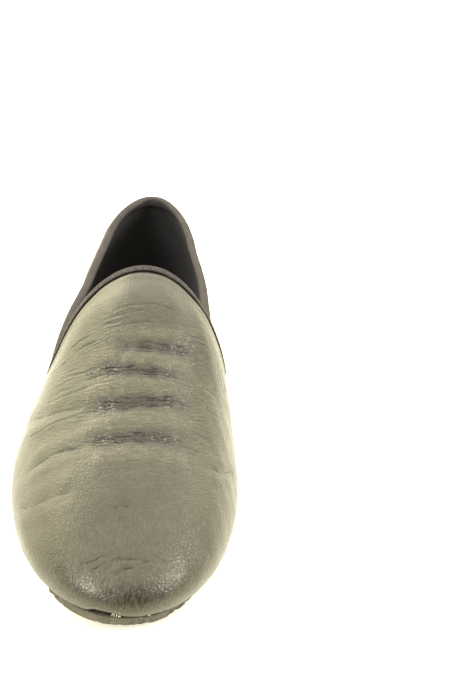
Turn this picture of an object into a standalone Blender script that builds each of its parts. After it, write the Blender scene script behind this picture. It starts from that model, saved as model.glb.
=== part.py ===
"""Slip-on jazz shoe for the right foot: a soft leather upper on a thin full-length sole.

The toe points along -Y, the inner (medial) side is at +X and the sole stands on Z = 0.
Sizes and tables are in millimetres, and the solids are built in metres.
"""

import bmesh
import bpy
import numpy as np

MM = 0.001

# Driving sizes
LAST_LENGTH = 268.0  # outside of the upper, from the heel's back to the toe's tip
WALL = 1.8  # leather with its lining
GAP = 0.3  # left between pieces that meet
LASTING_MARGIN = 9.0  # leather turned in under the foot
INSOLE_THICKNESS = 2.0
INSOLE_INSET = 1.6  # insole edge inside the feather line
SOLE_END_HALF_WIDTH = 3.5  # the sole's outline ends in a short chord this wide each side
SOLE_EDGE_BEVEL = 0.7
BINDING_THICKNESS = 0.7
BINDING_OUTER_LEG = 4.6
BINDING_INNER_LEG = 4.0

# The last, a row for each section across the foot, measured from the heel's back.
# ridge_x and ridge_z place the top line, medial and lateral are half widths from it,
# widest_z is the height of the widest point, the tucks draw the wall in to the feather
# line below it, welt is how far the sole stands past that line, and roundness is the
# section's superellipse power.
LAST_COLUMNS = (
    "station", "ridge_x", "medial", "lateral", "ridge_z", "widest_z",
    "tuck_medial", "tuck_lateral", "welt", "roundness",
)
LAST = (
    (0.0, 1.0, 32.5, 35.0, 81.0, 22.0, 3.0, 3.0, 2.2, 1.6),
    (40.0, 1.0, 32.5, 35.0, 81.0, 22.0, 3.0, 3.0, 2.0, 1.6),
    (80.0, 0.8, 36.2, 37.0, 87.0, 21.0, 6.0, 4.5, 1.8, 1.5),
    (115.0, -0.2, 36.0, 39.0, 81.5, 18.0, 7.0, 4.0, 1.8, 1.8),
    (145.0, 0.4, 40.0, 39.8, 76.0, 15.5, 4.5, 2.8, 1.2, 2.15),
    (175.0, 0.6, 43.9, 46.2, 60.5, 13.0, 2.6, 2.5, 0.3, 1.8),
    (200.0, 0.6, 44.3, 47.2, 47.5, 13.0, 2.6, 2.6, 0.3, 1.78),
    (240.0, 0.8, 44.3, 47.2, 36.5, 14.6, 2.7, 2.7, -1.9, 1.85),
    (268.0, 1.1, 44.3, 47.2, 30.5, 15.3, 2.1, 2.1, 0.6, 1.85),
)

# Where each side rounds off towards the ends, as (start station, power of the curve)
HEEL_ROUND = (40.0, 2.2)
TOE_ROUND_MEDIAL = (187.5, 2.0)
TOE_ROUND_LATERAL = (179.5, 2.08)
TOE_ROUND_TOP = (215.0, 2.1)

# Underside of the sole and its thickness along the foot
SOLE_COLUMNS = ("station", "ground", "thickness")
SOLE = (
    (-3.0, 1.2, 5.5),
    (10.0, 0.0, 5.5),
    (70.0, 0.0, 5.5),
    (112.0, 2.4, 4.4),
    (148.0, 0.0, 3.8),
    (200.0, 0.0, 3.8),
    (222.0, 0.9, 3.8),
    (245.0, 3.4, 3.8),
    (272.0, 8.0, 3.8),
)

# Height of the collar along the quarters, from the heel's back towards the notch
COLLAR_COLUMNS = ("station", "height")
COLLAR = (
    (0.0, 69.7),
    (15.0, 66.6),
    (40.0, 61.5),
    (70.0, 55.9),
    (105.0, 49.4),
    (160.0, 42.0),
)
NOTCH_STATION = {+1: 145.0, -1: 153.4}  # where quarter and vamp meet, medial and lateral
NOTCH_HEIGHT = {+1: 39.7, -1: 36.0}
NOTCH_RUN = 7.0  # the collar bends into the notch over this length
NOTCH_THROAT_SHARE = 0.16  # and leaves it over this share of the throat's edge
TONGUE_STATION = 128.5  # rounded top of the vamp on the instep
THROAT_POWER = 2.3  # roundness of the vamp's top edge

# Heel curve, how far the back leans towards the toe above the widest point
HEEL_LEAN = 4.4
HEEL_LEAN_REACH = 70.0
HEEL_LEAN_HEIGHT = 44.0

# Mesh steps along one side of the shoe and up the wall
QUARTER_STEPS = 17
NOTCH_STEPS = 9
THROAT_STEPS = 17
NOTCH_SHARE_OF_VAMP_FOOT = 0.52  # stretch of the vamp's foot that the notch fans out to
WALL_STEPS = 11
TUCK_STEPS = 3
SOLE_STEPS = 30
ACROSS_STEPS = 4
FINE_STEPS = 240


def monotone_curve(knots, values, at):
    """Smooth curve through the knots that never overshoots them."""
    knots = np.asarray(knots, float)
    values = np.asarray(values, float)
    run = np.diff(knots)
    rise = np.diff(values) / run
    slope = np.zeros_like(values)
    before, after = rise[:-1], rise[1:]
    weight_before = 2 * run[1:] + run[:-1]
    weight_after = run[1:] + 2 * run[:-1]
    same_way = before * after > 0
    with np.errstate(divide="ignore", invalid="ignore"):
        mean = (weight_before + weight_after) / (weight_before / before + weight_after / after)
    slope[1:-1] = np.where(same_way, mean, 0.0)
    slope[0], slope[-1] = rise[0], rise[-1]
    at = np.clip(at, knots[0], knots[-1])
    span = np.clip(np.searchsorted(knots, at, side="right") - 1, 0, len(run) - 1)
    t = (at - knots[span]) / run[span]
    return (
        (1 + 2 * t) * (1 - t) ** 2 * values[span]
        + t * (1 - t) ** 2 * run[span] * slope[span]
        + t * t * (3 - 2 * t) * values[span + 1]
        + t * t * (t - 1) * run[span] * slope[span + 1]
    )


def column(table, names, name, station):
    """Value of one column of a table at any station."""
    rows = np.asarray(table)
    return monotone_curve(rows[:, 0], rows[:, names.index(name)], station)


def last(name, station):
    return column(LAST, LAST_COLUMNS, name, station)


def rounding(distance, run, power):
    """Superellipse that falls from 1 at distance 0 to 0 at the end of the run."""
    share = np.clip(distance / run, 0.0, 1.0)
    return (1 - share**power) ** (1 / power)


def half_width(station, side):
    """Distance from the ridge to the widest point, on the medial (+1) or lateral (-1) side."""
    toe_start, toe_power = TOE_ROUND_MEDIAL if side > 0 else TOE_ROUND_LATERAL
    heel_start, heel_power = HEEL_ROUND
    width = last("medial" if side > 0 else "lateral", station)
    at_toe = rounding(station - toe_start, LAST_LENGTH - toe_start, toe_power)
    at_heel = rounding(heel_start - station, heel_start, heel_power)
    return width * at_toe * at_heel


def ridge_height(station):
    start, power = TOE_ROUND_TOP
    widest = last("widest_z", station)
    rise = last("ridge_z", station) - widest
    return widest + rise * rounding(station - start, LAST_LENGTH - start, power)


def section_point(station, angle, side):
    """Point (x, station, z) of a section, angle 0 on the ridge and a right angle at the widest."""
    power = 2 / last("roundness", station)
    widest = last("widest_z", station)
    x = last("ridge_x", station) + side * half_width(station, side) * np.sin(angle) ** power
    z = widest + (ridge_height(station) - widest) * np.cos(angle) ** power
    return x, z


def angle_at_height(station, height):
    widest = last("widest_z", station)
    share = np.clip((height - widest) / (ridge_height(station) - widest), 0.0, 1.0)
    return np.arccos(share ** (last("roundness", station) / 2))


def surface_height(x, station, side):
    """Height of the last over a point of its plan."""
    width = np.maximum(half_width(station, side), 1e-6)
    power = last("roundness", station)
    share = np.clip(np.abs(x - last("ridge_x", station)) / width, 0.0, 1.0)
    widest = last("widest_z", station)
    return widest + (ridge_height(station) - widest) * (1 - share**power) ** (1 / power)


def ground_height(station):
    return column(SOLE, SOLE_COLUMNS, "ground", station)


def feather_height(station):
    """Underside of the turned-in leather, a gap above the sole."""
    return ground_height(station) + column(SOLE, SOLE_COLUMNS, "thickness", station) + GAP


def lean_heel(points):
    """Bends the heel's back forward above its widest point."""
    x, station, z = np.moveaxis(points, -1, 0)
    near_heel = np.clip(1 - station / HEEL_LEAN_REACH, 0.0, 1.0) ** 1.5
    above = np.clip((z - last("widest_z", station)) / HEEL_LEAN_HEIGHT, 0.0, None)
    return np.stack([x, station + HEEL_LEAN * near_heel * above**1.6, z], axis=-1)


def resample(line, shares):
    """Points of a polyline at shares of its length."""
    length = np.concatenate([[0.0], np.cumsum(np.linalg.norm(np.diff(line, axis=0), axis=1))])
    return np.stack(
        [np.interp(np.asarray(shares) * length[-1], length, line[:, k]) for k in range(line.shape[1])],
        axis=1,
    )


def outline_half(side, start=0.0):
    """Fine plan outline (x, station) at the widest line, from a station to the toe's tip."""
    share = np.linspace(0.0, 1.0, FINE_STEPS)
    station = start + (LAST_LENGTH - start) * (1 - np.cos(np.pi * share)) / 2
    x = last("ridge_x", station) + side * half_width(station, side)
    return np.stack([x, station], axis=1)


def top_edge(side):
    """Stations and angles of the collar, the notch and the throat, from heel to tongue."""
    notch = NOTCH_STATION[side]
    notch_angle = angle_at_height(notch, NOTCH_HEIGHT[side])

    def collar_angle(station):
        drop = NOTCH_HEIGHT[side] - column(COLLAR, COLLAR_COLUMNS, "height", notch)
        height = column(COLLAR, COLLAR_COLUMNS, "height", station) + drop * station / notch
        return angle_at_height(station, height)

    def throat(share):
        rest = 1 - share
        station = TONGUE_STATION + (notch - TONGUE_STATION) * rest**THROAT_POWER
        return station, notch_angle * rest

    collar_end = notch - NOTCH_RUN
    around_heel = np.linspace(0.0, np.pi / 2, QUARTER_STEPS)
    collar_station = collar_end * (1 - np.cos(around_heel)) * (1 - 0.35 * np.cos(around_heel))
    collar = np.stack([collar_station, collar_angle(collar_station)], axis=1)
    throat_start = np.array(throat(NOTCH_THROAT_SHARE))
    t = np.linspace(0.0, 1.0, NOTCH_STEPS + 2)[1:-1, None]
    corner = np.array([notch, notch_angle])
    bend = (1 - t) ** 2 * collar[-1] + 2 * t * (1 - t) * corner + t * t * throat_start
    shares = np.linspace(NOTCH_THROAT_SHARE, 1.0, THROAT_STEPS)
    edge = np.stack(throat(shares), axis=1)
    return collar, bend, edge


def wall_lines(side):
    """Fine lines up the wall (x, station, z), each from the widest point to the top edge."""
    collar, bend, edge = top_edge(side)
    lines = []
    for station, top_angle in collar:
        angle = np.linspace(np.pi / 2, top_angle, FINE_STEPS)
        x, z = section_point(station, angle, side)
        lines.append(np.stack([x, np.full_like(x, station), z], axis=1))
    foot = outline_half(side, collar[-1, 0])
    at_notch = NOTCH_SHARE_OF_VAMP_FOOT * np.arange(1, NOTCH_STEPS + 1) / (NOTCH_STEPS + 1)
    at_throat = np.linspace(NOTCH_SHARE_OF_VAMP_FOOT, 1.0, THROAT_STEPS)
    feet = resample(foot, np.concatenate([at_notch, at_throat]))
    sweep = np.cos(np.linspace(0.0, np.pi / 2, FINE_STEPS))[:, None]
    for (station, angle), (foot_x, foot_station) in zip(np.concatenate([bend, edge]), feet):
        top_x, _ = section_point(station, angle, side)
        top = np.array([top_x, station])
        plan = top + (np.array([foot_x, foot_station]) - top) * sweep
        z = surface_height(plan[:, 0], plan[:, 1], side)
        lines.append(np.column_stack([plan, z]))
    return lines


def around(medial, lateral):
    """One closed loop: heel to toe along the lateral side and back along the medial one."""
    return np.concatenate([lateral, medial[-2:0:-1]])


def inward_normals(loop):
    """Plan normals of a closed loop, pointing inside it."""
    tangent = np.roll(loop, -1, axis=0) - np.roll(loop, 1, axis=0)
    normal = np.stack([tangent[:, 1], -tangent[:, 0]], axis=1)
    normal /= np.linalg.norm(normal, axis=1, keepdims=True)
    inside = np.sum(normal * (loop.mean(axis=0) - loop), axis=1).sum()
    return normal * np.sign(inside)


def tuck_amount(loop):
    """How far the wall draws in below its widest line, at each point of a plan loop."""
    medial = loop[:, 0] > last("ridge_x", loop[:, 1])
    return np.where(medial, last("tuck_medial", loop[:, 1]), last("tuck_lateral", loop[:, 1]))


def upper_rows():
    """Outer face of the upper as rows of points, from the margin's edge up to the top edge."""
    leg = np.array([BINDING_OUTER_LEG, BINDING_OUTER_LEG / 2, 0.0])
    sides = {}
    for side in (+1, -1):
        columns = []
        for line in wall_lines(side):
            length = np.linalg.norm(np.diff(line, axis=0), axis=1).sum()
            up_to_leg = np.linspace(0.0, 1 - leg[0] / length, WALL_STEPS, endpoint=False)
            columns.append(resample(line, np.concatenate([up_to_leg, 1 - leg / length])))
        sides[side] = np.array(columns)
    wall = np.moveaxis(around(sides[+1], sides[-1]), 1, 0)
    widest = wall[0]
    inward = inward_normals(widest[:, :2])
    tuck = tuck_amount(widest[:, :2])[:, None]
    below = []
    for inset in (LASTING_MARGIN, LASTING_MARGIN / 2):
        plan = widest[:, :2] + inward * (tuck + inset)
        below.append(np.column_stack([plan, feather_height(plan[:, 1])]))
    for turn in np.linspace(np.pi / 2, 0.0, TUCK_STEPS + 1)[:-1]:
        plan = widest[:, :2] + inward * tuck * (1 - np.cos(turn))
        feather = feather_height(plan[:, 1])
        z = widest[:, 2] - (widest[:, 2] - feather) * np.sin(turn)
        below.append(np.column_stack([plan, z]))
    return lean_heel(np.concatenate([np.array(below), wall]))


def row_normals(rows):
    """Outward normals of a surface given as closed rows."""
    along = np.roll(rows, -1, axis=1) - np.roll(rows, 1, axis=1)
    upward = np.gradient(rows, axis=0)
    normal = np.cross(upward, along)
    return normal / np.linalg.norm(normal, axis=2, keepdims=True)


def sole_sides(offset):
    """Plan outlines (lateral, medial) offset outwards from the feather line."""
    halves = {side: resample(outline_half(side), np.linspace(0.0, 1.0, FINE_STEPS)) for side in (+1, -1)}
    loop = around(halves[+1], halves[-1])
    shift = offset + (last("welt", loop[:, 1]) if offset >= 0 else 0.0) - tuck_amount(loop)
    moved = loop - inward_normals(loop) * shift[:, None]
    lateral = moved[:FINE_STEPS]
    medial = np.concatenate([moved[:1], moved[:FINE_STEPS - 2:-1]])
    centre_ends = (lateral[0, 0], lateral[-1, 0])
    cut = []
    for half in (lateral, medial):
        heel_step = np.argmax(np.abs(half[:, 0] - centre_ends[0]) > SOLE_END_HALF_WIDTH)
        toe_step = len(half) - np.argmax(np.abs(half[::-1, 0] - centre_ends[1]) > SOLE_END_HALF_WIDTH)
        cut.append(resample(half[heel_step:toe_step], even_ends(SOLE_STEPS)))
    return cut


def even_ends(steps):
    """Shares from 0 to 1 that lie a little closer at both ends."""
    share = np.linspace(0.0, 1.0, steps + 1)
    return share - 0.06 * np.sin(2 * np.pi * share)


def to_world(points):
    """Shoe coordinates (x, station, z) in millimetres to metres, centred, toe towards -Y."""
    x, station, z = np.moveaxis(np.asarray(points, float), -1, 0)
    outline = np.concatenate([outline_half(+1), outline_half(-1)])
    middle_x, middle_station = (outline.min(axis=0) + outline.max(axis=0)) / 2
    return np.stack([x - middle_x, middle_station - station, z], axis=-1) * MM


def make_material(name, colour, roughness):
    material = bpy.data.materials.new(name)
    material.use_nodes = True
    shader = material.node_tree.nodes["Principled BSDF"]
    shader.inputs["Base Color"].default_value = (*colour, 1.0)
    shader.inputs["Roughness"].default_value = roughness
    shader.inputs["Metallic"].default_value = 0.0
    return material


def add_object(name, mesh_builder, material, collection, parent):
    """Turns a bmesh into a named object of the shoe."""
    bmesh.ops.recalc_face_normals(mesh_builder, faces=mesh_builder.faces)
    mesh = bpy.data.meshes.new(name)
    mesh_builder.to_mesh(mesh)
    mesh_builder.free()
    mesh.shade_smooth()
    mesh.materials.append(material)
    shoe_piece = bpy.data.objects.new(name, mesh)
    shoe_piece.parent = parent
    collection.objects.link(shoe_piece)
    return shoe_piece


def ring_surface(rows):
    """Open surface through closed rows of points, made from a grid bent round and welded."""
    row_count, point_count = rows.shape[:2]
    grid = bmesh.new()
    bmesh.ops.create_grid(grid, x_segments=point_count, y_segments=row_count - 1, size=1.0)
    places = to_world(rows)
    for vertex in grid.verts:
        point = round((vertex.co.x + 1) / 2 * point_count) % point_count
        row = round((vertex.co.y + 1) / 2 * (row_count - 1))
        vertex.co = places[row, point]
    bmesh.ops.remove_doubles(grid, verts=grid.verts, dist=1e-6)
    return grid


def slab(lateral, medial, bottom, top):
    """Solid between two heights over the plan between two side lines."""
    step_count = len(lateral)
    grid = bmesh.new()
    bmesh.ops.create_grid(grid, x_segments=ACROSS_STEPS, y_segments=step_count - 1, size=1.0)
    plan = {}
    for vertex in grid.verts:
        share = (vertex.co.x + 1) / 2
        step = round((vertex.co.y + 1) / 2 * (step_count - 1))
        plan[vertex] = lateral[step] + (medial[step] - lateral[step]) * share
    lower = list(grid.verts)
    copied = bmesh.ops.extrude_face_region(grid, geom=grid.faces[:], use_keep_orig=True)
    upper = [item for item in copied["geom"] if isinstance(item, bmesh.types.BMVert)]
    partner = {tuple(vertex.co): vertex for vertex in lower}
    for vertex in upper:
        plan[vertex] = plan[partner[tuple(vertex.co)]]
    for vertices, height in ((lower, bottom), (upper, top)):
        flat = np.array([plan[vertex] for vertex in vertices])
        places = to_world(np.column_stack([flat, height(flat[:, 1])]))
        for vertex, place in zip(vertices, places):
            vertex.co = place
    return grid


def solidify(shoe_piece, thickness, side):
    """Gives an open surface its thickness, outwards (+1) or inwards (-1)."""
    shell = shoe_piece.modifiers.new("wall", "SOLIDIFY")
    shell.thickness = thickness * MM
    shell.offset = side


def build_upper(collection, parent):
    leather = make_material("black_leather", (0.055, 0.050, 0.040), 0.45)
    upper = add_object("upper", ring_surface(upper_rows()), leather, collection, parent)
    solidify(upper, WALL, -1)


def build_binding(collection, parent):
    """Folded tape over the whole top edge: collar, notches and throat."""
    tape = make_material("binding_tape", (0.030, 0.030, 0.030), 0.6)
    rows = upper_rows()
    normals = row_normals(rows)
    below, edge = rows[-3:-1], rows[-1]
    below_normal, edge_normal = normals[-3:-1], normals[-1]
    rise = edge - below[1]
    rise /= np.linalg.norm(rise, axis=1, keepdims=True)
    inner_share = BINDING_INNER_LEG / BINDING_OUTER_LEG
    inner_foot = edge + (below[0] - edge) * inner_share
    inside = WALL + GAP
    crown = edge + rise * GAP
    channel = np.array([
        below[0] + below_normal[0] * GAP,
        below[1] + below_normal[1] * GAP,
        crown + edge_normal * GAP,
        crown - edge_normal * inside,
        below[1] - below_normal[1] * inside,
        inner_foot - below_normal[0] * inside,
    ])
    binding = add_object("topline_binding", ring_surface(channel), tape, collection, parent)
    solidify(binding, BINDING_THICKNESS, +1)


def build_outsole(collection, parent):
    rubber = make_material("black_sole", (0.040, 0.036, 0.030), 0.8)
    lateral, medial = sole_sides(0.0)
    body = slab(lateral, medial, ground_height, lambda station: feather_height(station) - GAP)
    outsole = add_object("outsole", body, rubber, collection, parent)
    edge = outsole.modifiers.new("edge", "BEVEL")
    edge.width = SOLE_EDGE_BEVEL * MM
    edge.segments = 1
    edge.limit_method = "ANGLE"
    edge.angle_limit = np.radians(50)


def build_insole(collection, parent):
    sock = make_material("insole_cloth", (0.020, 0.019, 0.018), 0.9)
    lateral, medial = sole_sides(-INSOLE_INSET)

    def bottom(station):
        return feather_height(station) + WALL + GAP

    body = slab(lateral, medial, bottom, lambda station: bottom(station) + INSOLE_THICKNESS)
    add_object("insole", body, sock, collection, parent)


def main():
    for old in list(bpy.data.objects):
        bpy.data.objects.remove(old)
    collection = bpy.data.collections.new("jazz_shoe")
    bpy.context.scene.collection.children.link(collection)
    shoe = bpy.data.objects.new("jazz_shoe", None)
    collection.objects.link(shoe)
    for build in (build_outsole, build_insole, build_upper, build_binding):
        build(collection, shoe)


main()
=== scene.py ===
"""Slip-on jazz shoe for the right foot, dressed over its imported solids.

Shoe sizes are in millimetres: x across the foot with the inner side at plus, station along it
from the heel's back to the toe, and z up. Blender's units are metres, with the toe towards -Y.
"""

import logging
import math
from abc import ABC, abstractmethod
from dataclasses import dataclass, field
from enum import Enum
from functools import cached_property, reduce
from typing import Any, Callable, ClassVar, Optional, Sequence

import bpy
import numpy as np
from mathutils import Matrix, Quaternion, Vector


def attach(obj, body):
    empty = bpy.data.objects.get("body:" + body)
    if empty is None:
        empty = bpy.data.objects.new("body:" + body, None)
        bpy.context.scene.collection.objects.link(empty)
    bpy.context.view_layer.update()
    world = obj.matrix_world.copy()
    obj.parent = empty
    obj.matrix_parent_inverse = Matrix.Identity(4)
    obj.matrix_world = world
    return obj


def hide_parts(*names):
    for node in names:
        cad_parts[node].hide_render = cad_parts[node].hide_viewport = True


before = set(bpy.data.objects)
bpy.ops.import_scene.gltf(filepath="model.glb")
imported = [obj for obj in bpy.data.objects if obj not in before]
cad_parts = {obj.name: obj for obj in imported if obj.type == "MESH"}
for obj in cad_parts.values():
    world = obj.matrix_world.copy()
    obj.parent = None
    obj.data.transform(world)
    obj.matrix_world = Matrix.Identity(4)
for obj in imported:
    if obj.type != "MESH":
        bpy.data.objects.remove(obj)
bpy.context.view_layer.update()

LOG = logging.getLogger("jazz_shoe")
MM = 0.001
BODY = "root"
WRINKLE_SEED = 11
EDGE_SEED = 5
LEAST_WIDTH = 1e-6
WELD_DISTANCE = 1e-6
MIDDLE_LINE_SHARE = 0.9

Array = np.ndarray
Socket = bpy.types.NodeSocket
Piece = bpy.types.Object
Pair = tuple[float, float]
Triple = tuple[float, float, float]
Colour = Triple
Span = tuple[float, ...]
Height = Callable[[Array], Array]


class Side(Enum):
    """The two halves of the shoe, with the sign of their x."""

    MEDIAL = 1
    LATERAL = -1


def smooth_curve(knots: Sequence[float], values: Sequence[float], at: Array) -> Array:
    """Smooth curve through the knots that never overshoots them.

    Args:
        knots: Rising places of the known values.
        values: Known values.
        at: Places to read.

    Returns:
        The curve's values at those places.
    """
    knots = np.asarray(knots, float)
    values = np.asarray(values, float)
    run = np.diff(knots)
    rise = np.diff(values) / run
    slope = np.zeros_like(values)
    before, after = rise[:-1], rise[1:]
    weight_before = 2 * run[1:] + run[:-1]
    weight_after = run[1:] + 2 * run[:-1]
    with np.errstate(divide="ignore", invalid="ignore"):
        mean = (weight_before + weight_after) / (weight_before / before + weight_after / after)
    slope[1:-1] = np.where(before * after > 0, mean, 0.0)
    slope[0], slope[-1] = rise[0], rise[-1]
    at = np.clip(at, knots[0], knots[-1])
    span = np.clip(np.searchsorted(knots, at, side="right") - 1, 0, len(run) - 1)
    t = (at - knots[span]) / run[span]
    return (
        (1 + 2 * t) * (1 - t) ** 2 * values[span]
        + t * (1 - t) ** 2 * run[span] * slope[span]
        + t * t * (3 - 2 * t) * values[span + 1]
        + t * t * (t - 1) * run[span] * slope[span + 1]
    )


def read_table(rows: Sequence[Span], column: int, at: Array) -> Array:
    """One column of a table at any place of its first column."""
    table = np.asarray(rows)
    return smooth_curve(table[:, 0], table[:, column], at)


def ease(value: Array) -> Array:
    """Smooth step from 0 to 1."""
    value = np.clip(value, 0.0, 1.0)
    return value * value * (3 - 2 * value)


def ramp(value: Array, start: float, run: float) -> Array:
    """Smooth step from 0 at the start to 1 at the end of a run."""
    return ease((value - start) / run)


def bell(distance: Array, width: float) -> Array:
    """Bell curve, 1 in the middle and about a third at the width."""
    return np.exp(-((distance / width) ** 2))


def around(medial: Array, lateral: Array) -> Array:
    """One closed loop: heel to toe along the lateral side and back along the medial one."""
    return np.concatenate([lateral, medial[-2:0:-1]])


def unit(vectors: Array) -> Array:
    """The same vectors at length 1."""
    return vectors / np.linalg.norm(vectors, axis=-1, keepdims=True)


def run_lengths(line: Array) -> Array:
    """Length along a polyline at each of its points."""
    return np.concatenate([[0.0], np.cumsum(np.linalg.norm(np.diff(line, axis=0), axis=1))])


def resample(line: Array, shares: Array) -> Array:
    """Points of a polyline at shares of its length.

    Args:
        line: Points of the polyline.
        shares: Shares of its length, from 0 to 1.

    Returns:
        One point for each share.
    """
    run = run_lengths(line)
    return np.stack([np.interp(shares * run[-1], run, line[:, k]) for k in range(line.shape[1])], axis=1)


def row_normals(rows: Array) -> Array:
    """Outward normals of a surface given as closed rows, lowest first.

    Args:
        rows: Points as rows x columns x 3.

    Returns:
        Unit normals of the same shape.
    """
    along = np.roll(rows, -1, axis=1) - np.roll(rows, 1, axis=1)
    return unit(np.cross(np.gradient(rows, axis=0), along))


@dataclass(frozen=True)
class LastForm:
    """The foot form that every piece follows, with the same sizes as the solids."""

    length: float = 268.0
    wall: float = 1.8
    gap: float = 0.3
    margin: float = 9.0
    heel_round: Pair = (40.0, 2.2)
    toe_round: dict[Side, Pair] = field(
        default_factory=lambda: {Side.MEDIAL: (187.5, 2.0), Side.LATERAL: (179.5, 2.08)}
    )
    toe_round_top: Pair = (215.0, 2.1)
    heel_lean: float = 4.4
    heel_lean_reach: float = 70.0
    heel_lean_height: float = 44.0
    heel_lean_fade: float = 1.5
    heel_lean_curve: float = 1.6
    outline_steps: int = 400

    # A row for each section across the foot
    LAST_COLUMNS: ClassVar = (
        "station", "ridge_x", "medial", "lateral", "ridge_z", "widest_z",
        "tuck_medial", "tuck_lateral", "welt", "roundness",
    )
    LAST: ClassVar = (
        (0.0, 1.0, 32.5, 35.0, 81.0, 22.0, 3.0, 3.0, 2.2, 1.6),
        (40.0, 1.0, 32.5, 35.0, 81.0, 22.0, 3.0, 3.0, 2.0, 1.6),
        (80.0, 0.8, 36.2, 37.0, 87.0, 21.0, 6.0, 4.5, 1.8, 1.5),
        (115.0, -0.2, 36.0, 39.0, 81.5, 18.0, 7.0, 4.0, 1.8, 1.8),
        (145.0, 0.4, 40.0, 39.8, 76.0, 15.5, 4.5, 2.8, 1.2, 2.15),
        (175.0, 0.6, 43.9, 46.2, 60.5, 13.0, 2.6, 2.5, 0.3, 1.8),
        (200.0, 0.6, 44.3, 47.2, 47.5, 13.0, 2.6, 2.6, 0.3, 1.78),
        (240.0, 0.8, 44.3, 47.2, 36.5, 14.6, 2.7, 2.7, -1.9, 1.85),
        (268.0, 1.1, 44.3, 47.2, 30.5, 15.3, 2.1, 2.1, 0.6, 1.85),
    )
    # Underside of the sole and its thickness along the foot
    SOLE_COLUMNS: ClassVar = ("station", "ground", "thickness")
    SOLE: ClassVar = (
        (-3.0, 1.2, 5.5),
        (10.0, 0.0, 5.5),
        (70.0, 0.0, 5.5),
        (112.0, 2.4, 4.4),
        (148.0, 0.0, 3.8),
        (200.0, 0.0, 3.8),
        (222.0, 0.9, 3.8),
        (245.0, 3.4, 3.8),
        (272.0, 8.0, 3.8),
    )

    def last(self, name: str, station: Array) -> Array:
        """One column of the last's table at any station."""
        return read_table(self.LAST, self.LAST_COLUMNS.index(name), station)

    def sole(self, name: str, station: Array) -> Array:
        """One column of the sole's table at any station."""
        return read_table(self.SOLE, self.SOLE_COLUMNS.index(name), station)

    @staticmethod
    def rounding(distance: Array, run: float, power: float) -> Array:
        """Superellipse that falls from 1 at distance 0 to 0 at the end of the run."""
        share = np.clip(distance / run, 0.0, 1.0)
        return (1 - share**power) ** (1 / power)

    def half_width(self, station: Array, side: Side) -> Array:
        """Distance from the ridge to the widest point.

        Args:
            station: Places along the foot.
            side: Half of the shoe.

        Returns:
            Half widths in millimetres.
        """
        toe_start, toe_power = self.toe_round[side]
        heel_start, heel_power = self.heel_round
        at_toe = self.rounding(station - toe_start, self.length - toe_start, toe_power)
        at_heel = self.rounding(heel_start - station, heel_start, heel_power)
        return self.last(side.name.lower(), station) * at_toe * at_heel

    def ridge_height(self, station: Array) -> Array:
        """Height of the top line along the foot.

        Args:
            station: Places along the foot.

        Returns:
            Heights in millimetres.
        """
        start, power = self.toe_round_top
        widest = self.last("widest_z", station)
        rise = self.last("ridge_z", station) - widest
        return widest + rise * self.rounding(station - start, self.length - start, power)

    def section_point(self, station: Array, angle: Array, side: Side) -> tuple[Array, Array]:
        """Point of a section, angle 0 on the ridge and a right angle at the widest.

        Args:
            station: Places along the foot.
            angle: Angles round the section.
            side: Half of the shoe.

        Returns:
            The points' x and z.
        """
        power = 2 / self.last("roundness", station)
        widest = self.last("widest_z", station)
        across = np.clip(np.sin(angle), 0.0, 1.0) ** power
        upward = np.clip(np.cos(angle), 0.0, 1.0) ** power
        x = self.last("ridge_x", station) + side.value * self.half_width(station, side) * across
        return x, widest + (self.ridge_height(station) - widest) * upward

    def angle_at_height(self, station: Array, height: Array) -> Array:
        """Angle round the section at which it reaches a height.

        Args:
            station: Places along the foot.
            height: Heights to reach.

        Returns:
            Angles, 0 on the ridge.
        """
        widest = self.last("widest_z", station)
        share = np.clip((height - widest) / (self.ridge_height(station) - widest), 0.0, 1.0)
        return np.arccos(share ** (self.last("roundness", station) / 2))

    def surface_height(self, x: Array, station: Array, side: Side) -> Array:
        """Height of the last over points of its plan.

        Args:
            x: Places across the foot.
            station: Places along the foot.
            side: Half of the shoe.

        Returns:
            Heights in millimetres.
        """
        width = np.maximum(self.half_width(station, side), LEAST_WIDTH)
        power = self.last("roundness", station)
        share = np.clip(np.abs(x - self.last("ridge_x", station)) / width, 0.0, 1.0)
        widest = self.last("widest_z", station)
        return widest + (self.ridge_height(station) - widest) * (1 - share**power) ** (1 / power)

    def vamp_point(self, x: Array, station: Array) -> Array:
        """Points on the last over a plan route, on whichever side they fall.

        Args:
            x: Places across the foot.
            station: Places along the foot.

        Returns:
            Points (x, station, z).
        """
        medial = self.surface_height(x, station, Side.MEDIAL)
        lateral = self.surface_height(x, station, Side.LATERAL)
        z = np.where(x > self.last("ridge_x", station), medial, lateral)
        return np.stack([x, station, z], axis=-1)

    def sole_top(self, station: Array) -> Array:
        """Height of the sole's upper face."""
        return self.sole("ground", station) + self.sole("thickness", station)

    def feather_height(self, station: Array) -> Array:
        """Underside of the turned-in leather, a gap above the sole."""
        return self.sole_top(station) + self.gap

    def lean(self, points: Array) -> Array:
        """Bends the heel's back forward above its widest point.

        Args:
            points: Points (x, station, z).

        Returns:
            The bent points.
        """
        x, station, z = np.moveaxis(points, -1, 0)
        near_heel = np.clip(1 - station / self.heel_lean_reach, 0.0, 1.0) ** self.heel_lean_fade
        above = np.clip((z - self.last("widest_z", station)) / self.heel_lean_height, 0.0, None)
        forward = self.heel_lean * near_heel * above**self.heel_lean_curve
        return np.stack([x, station + forward, z], axis=-1)

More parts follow.
